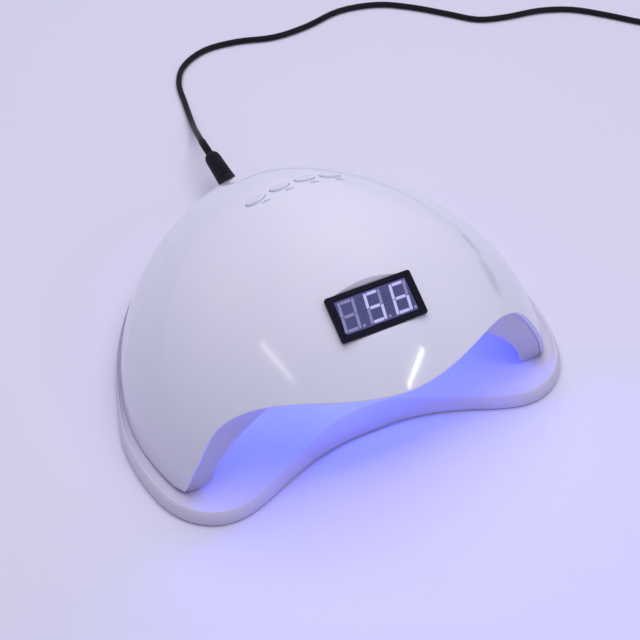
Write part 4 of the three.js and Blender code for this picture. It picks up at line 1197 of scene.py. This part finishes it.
def trayLoft(outline, stations, narrows):
    verts = []
    for i, here in enumerate(outline):
        before, after = outline[i - 1], outline[(i + 1) % len(outline)]
        inward = Vector((before.y - after.y, after.x - before.x, 0)).normalized()
        central = max(0, 1 - (here.x / tray["rampHalf"]) ** 2) ** 2 if here.y < centreY else 0
        lobe = smoothstep(-here.y, tray["lobeFrom"], tray["lobeTo"])
        width = marginAt(math.atan2(here.y - centreY, abs(here.x))) / tray["margin"] if narrows else 1
        for inset, height, ramp, extra in stations:
            point = here + inward * (inset * width + ramp * central + extra * lobe)
            if inset < 0:
                point = Vector((0, centreY + tray["hub"], 0))
            verts.append(Vector((point.x, point.y, height)))
    return meshPiece("tray", verts, gridFaces(len(outline), len(stations), True, False), smooth=False)


def makeTray():
    outline = trayOutline()
    stations = [(-1, tray["under"], 0, 0)] + splinePoints(rimLine, 3) + [(-1, tray["floor"], 0, 0)]
    piece = trayLoft(outline, stations, True)
    hollowTop = tray["under"] + tray["hollow"]
    hollow = trayLoft(outline, [(-1, -5, 0, 0), (tray["hollowIn"], -5, 0, 0),
                                (tray["hollowIn"], hollowTop, 0, 0),
                                (-1, hollowTop, 0, 0)], False)
    long, tall = 4 * dome["side"], 60  # the ribs' blocks run past the tray
    bars = [blockSolid(Vector((0, 0, 0)), tray["rib"], long, tall)]
    bars += [blockSolid(Vector((0, centreY + share * dome["back"], 0)), long, tray["rib"], tall)
             for share in tray["ribs"]]
    pads = [rodSolid(foot["radius"] + foot["pad"], at, at + up * tray["floor"], 40) for name,
            at in footPlaces()]
    for solid in bars:
        cutSolids(hollow, [solid])
    cutSolids(hollow, pads)
    cutAway(piece, [hollow])
    seatTop = tray["under"] + foot["inset"] + clearance
    cutSolids(piece, [rodSolid(foot["radius"] + clearance, at - up * 2, at + up * seatTop, 40)
                      for name, at in footPlaces()])
    top = rimLow - clearance
    low = top - rimSink - magnet["thick"]
    reach = magnet["radius"] + magnet["clear"]
    cutSolids(piece, [rodSolid(reach + magnet["wall"], rimSpot(b, tray["floor"] - magnet["root"]),
                               rimSpot(b, top),
                               40) for b in magnet["bearings"]], "UNION")
    cutSolids(piece, [rodSolid(reach, rimSpot(b, low - magnet["clear"]), rimSpot(b, top + 5), 40)
                      for b in magnet["bearings"]])
    piece.data.materials.clear()
    piece.data.materials.append(traySatin)
    piece.data.shade_smooth()
    piece.data.set_sharp_from_angle(angle=math.radians(38))
    piece.name = "trayDish"
    return piece


def blockSolid(middle, wide, deep, tall):
    corners = ((-1, -1), (1, -1), (1, 1), (-1, 1))
    verts = [middle + Vector((x * wide / 2, y * deep / 2, z * tall / 2)) for z in (-1, 1) for x, y in corners]
    return verts, stackFaces(4)


def footPlaces():
    return [(name, Vector((across * dome["side"], centreY
                           - forward * (trayHalf if forward > 0 else dome["back"]), 0)))
            for name, across, forward in foot["shares"]]


settle(makeTray(), "base", "white_satin", "tray")
for name, at in footPlaces():
    tall = tray["under"] + foot["inset"]
    pad = lathePiece(name + "Pad", roundedProfile([(0, 0.3), (1.8, 0.3), (2.2, 0), (foot["radius"], 0),
                     (foot["radius"], tall), (0, tall)], 0.35), at, up, 48, rubberBlack, "base",
                     "rubber_black")
    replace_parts(pad, name)
print("tray made")


# The buttons: an oval stem with a rounded top that stands a little proud on its downhill
# side, and a flange that keeps it below the cover.
buttonShape = dict(lowSide=1.7, highSide=0.3, edge=0.8, dish=0.12, sides=64, rings=10)


def onDome(plane, x, y, lift):
    # a point of a plane moved along the plane's normal onto the dome, and lifted
    depth = 0.0
    for again in range(5):
        spot = plane.at(x, y, depth)
        depth -= (heightAt(skin, spot.x, spot.y) - spot.z) * plane.up.z
    return plane.at(x, y, depth - lift), depth


def makeButton(x, name):
    deepest = 0.0
    for turn in range(16):
        turn = tau * turn / 16
        deepest = max(deepest, onDome(buttonPlane, x + button["wide"] / 2 * math.cos(turn),
                                      button["deep"] / 2 * math.sin(turn), 0)[1])
    flangeTop = deepest + dome["wall"] + 2 * clearance
    shape = buttonShape
    verts = []
    for i in range(shape["sides"]):
        turn = tau * i / shape["sides"]
        u, v = button["wide"] / 2 * math.cos(turn), button["deep"] / 2 * math.sin(turn)

        def edgeSpot(inset, drop):
            scale = 1 - inset / (button["deep"] / 2)
            share = 0.5 - v * scale / button["deep"]
            lift = lerp(shape["highSide"], shape["lowSide"], share)
            lift -= shape["dish"] * (1 - scale) ** 0.5 if inset > shape["edge"] else 0
            return onDome(buttonPlane, x + u * scale, v * scale, lift - drop)[0]

        grow = 1 + button["flange"] / (button["deep"] / 2)
        column = [buttonPlane.at(x, 0, button["stemEnd"]),
                  buttonPlane.at(x + u * 0.5, v * 0.5, button["stemEnd"]),
                  buttonPlane.at(x + u, v, button["stemEnd"]),
                  buttonPlane.at(x + u, v, flangeTop + button["flangeTall"]),
                  buttonPlane.at(x + u * grow, v * grow, flangeTop + button["flangeTall"]),
                  buttonPlane.at(x + u * grow, v * grow, flangeTop), buttonPlane.at(x + u, v, flangeTop)]
        for k in range(6):
            swing = quarter * k / 5
            column.append(edgeSpot(shape["edge"] * (1 - math.cos(swing)),
                                   shape["edge"] * (1 - math.sin(swing))))
        half = button["deep"] / 2
        for k in range(1, shape["rings"] + 1):
            column.append(edgeSpot(lerp(shape["edge"], half, k / shape["rings"]), 0))
        verts += column
    rows = len(verts) // shape["sides"]
    piece = meshPiece("buttonCap" + name, verts, gridFaces(shape["sides"], rows, True, False), coverGloss,
                      "key_" + name, "white_gloss", sharpAngle=50)
    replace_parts(piece, "button_" + name)


for x, name in zip(buttonX, button["names"]):
    makeButton(x, name)

# Plain numbers beside the buttons, printed on the cover.
numbers = dict(size=3.0, downhill=6.6, aside=2.6, lift=0.02, spacing=1.05)


def makeNumber(x, text, name):
    curve = bpy.data.curves.new("words", "FONT")
    curve.body = text
    curve.size = numbers["size"]
    curve.align_x, curve.align_y = "CENTER", "CENTER"
    curve.space_character = numbers["spacing"]
    words = bpy.data.objects.new("words", curve)
    bpy.context.collection.objects.link(words)
    bpy.context.view_layer.update()
    flat = bpy.data.meshes.new_from_object(words.evaluated_get(bpy.context.evaluated_depsgraph_get()))
    bpy.data.objects.remove(words)
    work = bmesh.new()
    work.from_mesh(flat)
    bmesh.ops.triangulate(work, faces=work.faces)
    bmesh.ops.subdivide_edges(work, edges=[e for e in work.edges if e.calc_length() > 0.6], cuts=1)
    for vertex in work.verts:
        spot = onDome(buttonPlane, x + numbers["aside"] + vertex.co.x, vertex.co.y - numbers["downhill"],
                      numbers["lift"])[0]
        vertex.co = spot * mm
    work.to_mesh(flat)
    work.free()
    flat.name = name
    piece = bpy.data.objects.new(name, flat)
    bpy.context.collection.objects.link(piece)
    flat.materials.clear()
    flat.materials.append(printGrey)
    settle(piece, "housing", "black_plastic")


for x, text in zip(buttonX, button["names"]):
    makeNumber(x, text, "printedNumber" + text)
print("buttons made")


# The display: a frame with soft edges, a smoked lens set a little below it, and seven-bar
# digits that glow through it.
digits = dict(pitch=12.6, wide=8.0, high=14.2, bar=1.35, gap=0.25, clip=0.2, slant=8, lift=0.06, point=0.75,
              bevel=0.02,
              shown=("", "afgcd", "afgecd"))
frameDepth = display["sunk"] - clearance - display["thick"]
lensWide, lensHigh = display["wide"] - 2 * display["sideBar"], display["high"] - 2 * display["endBar"]
lensDepth = frameDepth + display["lensSunk"]


# The opening's slope runs in steps of how far out, the corner's radius and the depth.
frameEdge = dict(corner=1.2, ease=0.35, opening=((0.95, 0.9, 0), (0.75, 0.8, 0.04), (0.12, 0.4, 0.3),
                                                 (0, 0.4, 0.42)))


def makeDisplayFrame():
    low = frameDepth + display["thick"]
    rings = []

    def ring(grow, corner, depth, inner):
        wide, high = (lensWide, lensHigh) if inner else (display["wide"], display["high"])
        outline = roundedOutline(wide + 2 * grow, high + 2 * grow, max(0.05, corner + grow), 8)
        rings.append([displayPlane.at(x, y, depth) for x, y in outline])

    ring(0, frameEdge["corner"], low, False)
    for k in range(5):
        swing = quarter * k / 4
        ring(-frameEdge["ease"] * (1 - math.cos(swing)), frameEdge["corner"],
             frameDepth + frameEdge["ease"] * (1 - math.sin(swing)), False)
    for grow, corner, depth in frameEdge["opening"]:
        ring(grow, corner, frameDepth + depth, True)
    ring(0, frameEdge["opening"][-1][1], low, True)
    count = len(rings[0])
    verts = [rings[k][i] for i in range(count) for k in range(len(rings))]
    return meshPiece("displayFrame", verts, gridFaces(count, len(rings), True, True), ledgeBlack, "housing",
                     "black_plastic", sharpAngle=40)


def makeLens():
    rings = []
    low = frameDepth + display["thick"] - 0.1
    for grow, depth in ((-0.35, low), (-0.3, lensDepth + 0.12), (-0.4, lensDepth)):
        outline = roundedOutline(lensWide + 2 * grow, lensHigh + 2 * grow, 0.35, 8)
        rings.append([displayPlane.at(x, y, depth) for x, y in outline])
    count = len(rings[0])
    rings = [[displayPlane.at(0, 0, low)] * count] + rings
    for share in (0.9, 0.6, 0.3, 0):
        outline = roundedOutline((lensWide - 0.8) * share + 0.01, (lensHigh - 0.8) * share + 0.01, 0.005, 8)
        rings.append([displayPlane.at(x, y, lensDepth) for x, y in outline])
    verts = [rings[k][i] for i in range(count) for k in range(len(rings))]
    return meshPiece("displayLens", verts, gridFaces(count, len(rings), True, False), lensSmoke, "housing",
                     "smoked_lens", sharpAngle=40)


def barOutlines():
    # the seven bars of one digit as outlines with clipped corners, by their letter
    half, mid, gap, clip = digits["bar"] / 2, digits["high"] / 2, digits["gap"], digits["clip"]
    side = digits["wide"] / 2 - half

    def bar(x0, x1, y0, y1):
        return [(x0 + clip, y0), (x1 - clip, y0), (x1, y0 + clip), (x1, y1 - clip), (x1 - clip, y1),
                (x0 + clip, y1), (x0, y1 - clip), (x0, y0 + clip)]

    def level(y):
        return bar(-side + half + gap, side - half - gap, y - half, y + half)

    def upright(x, low, top):
        return bar(x - half, x + half, low + gap / 2, top - gap / 2)

    return {"a": level(mid - half), "g": level(0), "d": level(half - mid), "f": upright(-side, 0, mid),
            "b": upright(side, 0, mid), "e": upright(-side, -mid, 0), "c": upright(side, -mid, 0)}


def makeDigits():
    slant = math.tan(math.radians(digits["slant"]))
    lit, dim = [], []
    for place, shown in enumerate(digits["shown"]):
        middle = (place - 1) * digits["pitch"] - 0.6
        shapes = list(barOutlines().items())
        centre = (digits["wide"] / 2 + 1.4, -digits["high"] / 2 + digits["point"])
        shapes.append(("point", [(centre[0] + digits["point"] * math.cos(tau * k / 16),
                                  centre[1] + digits["point"] * math.sin(tau * k / 16)) for k in range(16)]))
        for letter, outline in shapes:
            count = len(outline)
            spots = [(middle + x + slant * y, y) for x, y in outline]
            cx, cy = (sum(p[k] for p in spots) / count for k in (0, 1))
            inner = [(lerp(x, cx, 0.04), lerp(y, cy, 0.04)) for x, y in spots]
            verts = [displayPlane.at(x, y, lensDepth + 0.1) for x, y in spots]
            verts += [displayPlane.at(x, y, lensDepth - digits["lift"] + digits["bevel"]) for x, y in spots]
            verts += [displayPlane.at(x, y, lensDepth - digits["lift"]) for x, y in inner]
            (lit if letter in shown else dim).append((verts, stackFaces(count, 2)))
    for name, solids, material in (("digitBarsLit", lit, digitLit), ("digitBarsDim", dim, digitDim)):
        piece = joinSolids(name, solids)
        piece.data.materials.append(material)
        settle(piece, "housing", "smoked_lens")


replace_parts(makeDisplayFrame(), "display_frame")
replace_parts(makeLens(), "display_lens")
makeDigits()
print("display made")


# The plug's boot: a flared skirt, a waist and a rounded shoulder, and a neck that steadies
# the lead.
boot = dict(faceY=98.6, height=19, sides=56,
            profile=((0, 0.05), (6.4, 0.05), (6.9, 0.6), (6.75, 1.8), (6.0, 4.2), (5.4, 7), (5.15, 8.6),
                     (4.85, 9.0),
                     (4.85, 9.7), (5.1, 10.2), (5.0, 11), (4.85, 15), (4.7, 20), (4.5, 27.5), (4.2, 29.6),
                     (3.5, 30.9),
                     (2.5, 31.5), (0, 31.5)))
neck = dict(radius=2.15, root=0.9, start=-1.5, points=5, endY=147, edge=0.5, sides=32)


def makeBoot():
    along = Vector((0, 1, 0))
    root = Vector((0, boot["faceY"], boot["height"]))
    piece = lathePiece("plugBoot", [(r, y) for r, y in boot["profile"]], root, along, boot["sides"],
                       rubberBlack,
                       "housing", "rubber_black", sharpAngle=35)
    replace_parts(piece, "plug_boot")
    back = Vector(lead["start"]) + Vector((0, neck["start"], 0))
    line = splinePoints([tuple(back), lead["start"], *lead["route"][:neck["points"] - 1]], 8)
    stop = min(range(len(line)), key=lambda i: abs(line[i][1] - neck["endY"]))
    line = [Vector(p) for p in line[:stop + 1]]
    radii = []
    for spot in line:
        left = (line[-1] - spot).length
        ring = math.sqrt(1 - max(0, 1 - left / neck["edge"]) ** 2)  # rounded at its end
        radii.append(lerp(lead["thick"] / 2 * neck["root"], neck["radius"], ring))
    tubeAlong("plugNeck", line, radii, neck["sides"], rubberBlack)


makeBoot()
print("plug made")


# CAD nodes that keep their shape get their finishes, and softened edges.
keptNodes = ((("tray_magnet", "housing_magnet", "cover_screw"), steelBright, 0.2),
             (("hand_sensor",), lensSmoke, 0.25),
             (("digit_block",), ledgeBlack, 0.25), (("display_board", "button_board", "main_board"),
                                                    boardGreen, 0.2),
             (("switch_",), ledgeBlack, 0.2), (("power_socket",), ledgeBlack, 0.3),
             (("plug_barrel",), steelBright, 0.25),
             (("coil_tie",), rubberBlack, 0.25), (("adapter_relief",), rubberBlack, 0.4),
             (("adapter_case",), ledgeBlack, 1.2), (("adapter_cap",), ledgeBlack, 0.9),
             (("adapter_pin",), steelBright, 0.35))
for name in frame["nodes"]:
    node = bpy.data.objects.get(name)
    for starts, material, reach in keptNodes:
        if node is not None and name.startswith(starts):
            for slot in node.material_slots:
                slot.material = material
            soften = node.modifiers.new("softEdges", "BEVEL")
            soften.width = reach * mm
            soften.segments = 3
            soften.limit_method = "ANGLE"
            soften.angle_limit = math.radians(40)
print("finishes placed")


# A plain pale table, a soft room and the lamps' own glow.
stageLook = dict(table=(0.74, 0.72, 0.91), room=(0.86, 0.86, 1.0), roomStrength=0.235,
                 behind=(0.685, 0.655, 0.86),
                 half=0.9, roughness=0.7, specular=0.2)


def makeStage():
    mesh = bpy.data.meshes.new("tableTop")
    half = stageLook["half"]
    mesh.from_pydata([(-half, -half, 0), (half, -half, 0), (half, half, 0), (-half, half, 0)], [],
                     [(0, 1, 2, 3)])
    table = bpy.data.objects.new("tableTop", mesh)
    bpy.context.collection.objects.link(table)
    material = bpy.data.materials.new("tableTop")
    material.use_nodes = True
    shader = material.node_tree.nodes["Principled BSDF"]
    shader.inputs["Base Color"].default_value = (*stageLook["table"], 1)
    shader.inputs["Roughness"].default_value = stageLook["roughness"]
    shader.inputs["Specular IOR Level"].default_value = stageLook["specular"]
    mesh.materials.append(material)


def makeWorld():
    world = bpy.data.worlds.new("studio")
    bpy.context.scene.world = world
    world.use_nodes = True
    nodes, links = world.node_tree.nodes, world.node_tree.links
    room = nodes["Background"]
    room.inputs["Color"].default_value = (*stageLook["room"], 1)
    room.inputs["Strength"].default_value = stageLook["roomStrength"]
    behind = nodes.new("ShaderNodeBackground")
    behind.inputs["Color"].default_value = (*stageLook["behind"], 1)
    rays = nodes.new("ShaderNodeLightPath")
    seen = addMath(nodes, links, "ADD", rays.outputs["Is Camera Ray"], rays.outputs["Is Glossy Ray"],
                   clamp=True)
    mix = nodes.new("ShaderNodeMixShader")
    links.new(seen, mix.inputs[0])
    links.new(room.outputs[0], mix.inputs[1])
    links.new(behind.outputs[0], mix.inputs[2])
    links.new(mix.outputs[0], nodes["World Output"].inputs["Surface"])


violet, washBlue, frontBlue, white = (0.12, 0.165, 1.0), (0.01, 0.01, 1.0), (0.10, 0.07, 1.0), (1, 1, 1)
# Name, kind, place, target, watts, size, height of the panel, colour and the rays that miss it.
lightTable = (
    ("softTop", "AREA", (0.12, 0.2, 1.35), (0, 0, 0), 17.1, 1.6, None, white, ("glossy",)),
    ("handGlow", "POINT", (0, -0.03, 0.048), (0, 0, 0), 0.2, 0.02, None, violet, ("glossy",)),
    ("sideGlow", "POINT", (-0.055, -0.03, 0.035), (0, 0, 0), 0.05, 0.015, None, violet, ("glossy",)),
    ("sideGlow", "POINT", (0.055, -0.03, 0.035), (0, 0, 0), 0.05, 0.015, None, violet, ("glossy",)),
    ("frontGlow", "AREA", (0, -0.085, 0.035), (0, -0.3, 0), 0.08, 0.09, 0.03, frontBlue,
     ("glossy", "camera")),
    ("tableWash", "AREA", (0.06, -0.34, 0.12), (0.06, -0.34, 0), 0.05, 0.26, None, washBlue,
     ("glossy", "camera")),
    ("streakRight", "AREA", (0.378, -0.545, 0.61), (0.004, -0.094, 0.073), 0.4, 0.32, 0.03, white,
     ("camera",)),
    ("streakLeft", "AREA", (-0.585, -0.158, 0.652), (-0.047, -0.066, 0.076), 0.13, 0.345, 0.035, white,
     ("camera",)))


def addLight(name, kind, place, target, energy, size, height, colour, missed):
    light = bpy.data.lights.new(name, kind)
    light.energy = energy
    light.color = colour
    if kind == "AREA":
        light.shape = "RECTANGLE" if height else "SQUARE"
        light.size = size
        if height:
            light.size_y = height
    else:
        light.shadow_soft_size = size
    lamp = bpy.data.objects.new(name, light)
    bpy.context.collection.objects.link(lamp)
    lamp.location = place
    lamp.rotation_euler = (Vector(target) - lamp.location).to_track_quat("-Z", "Y").to_euler()
    for rays in missed:
        setattr(lamp, "visible_" + rays, False)


makeStage()
makeWorld()
for row in lightTable:
    addLight(*row)
bpy.context.scene.view_settings.view_transform = "Standard"
print("stage and lights made")
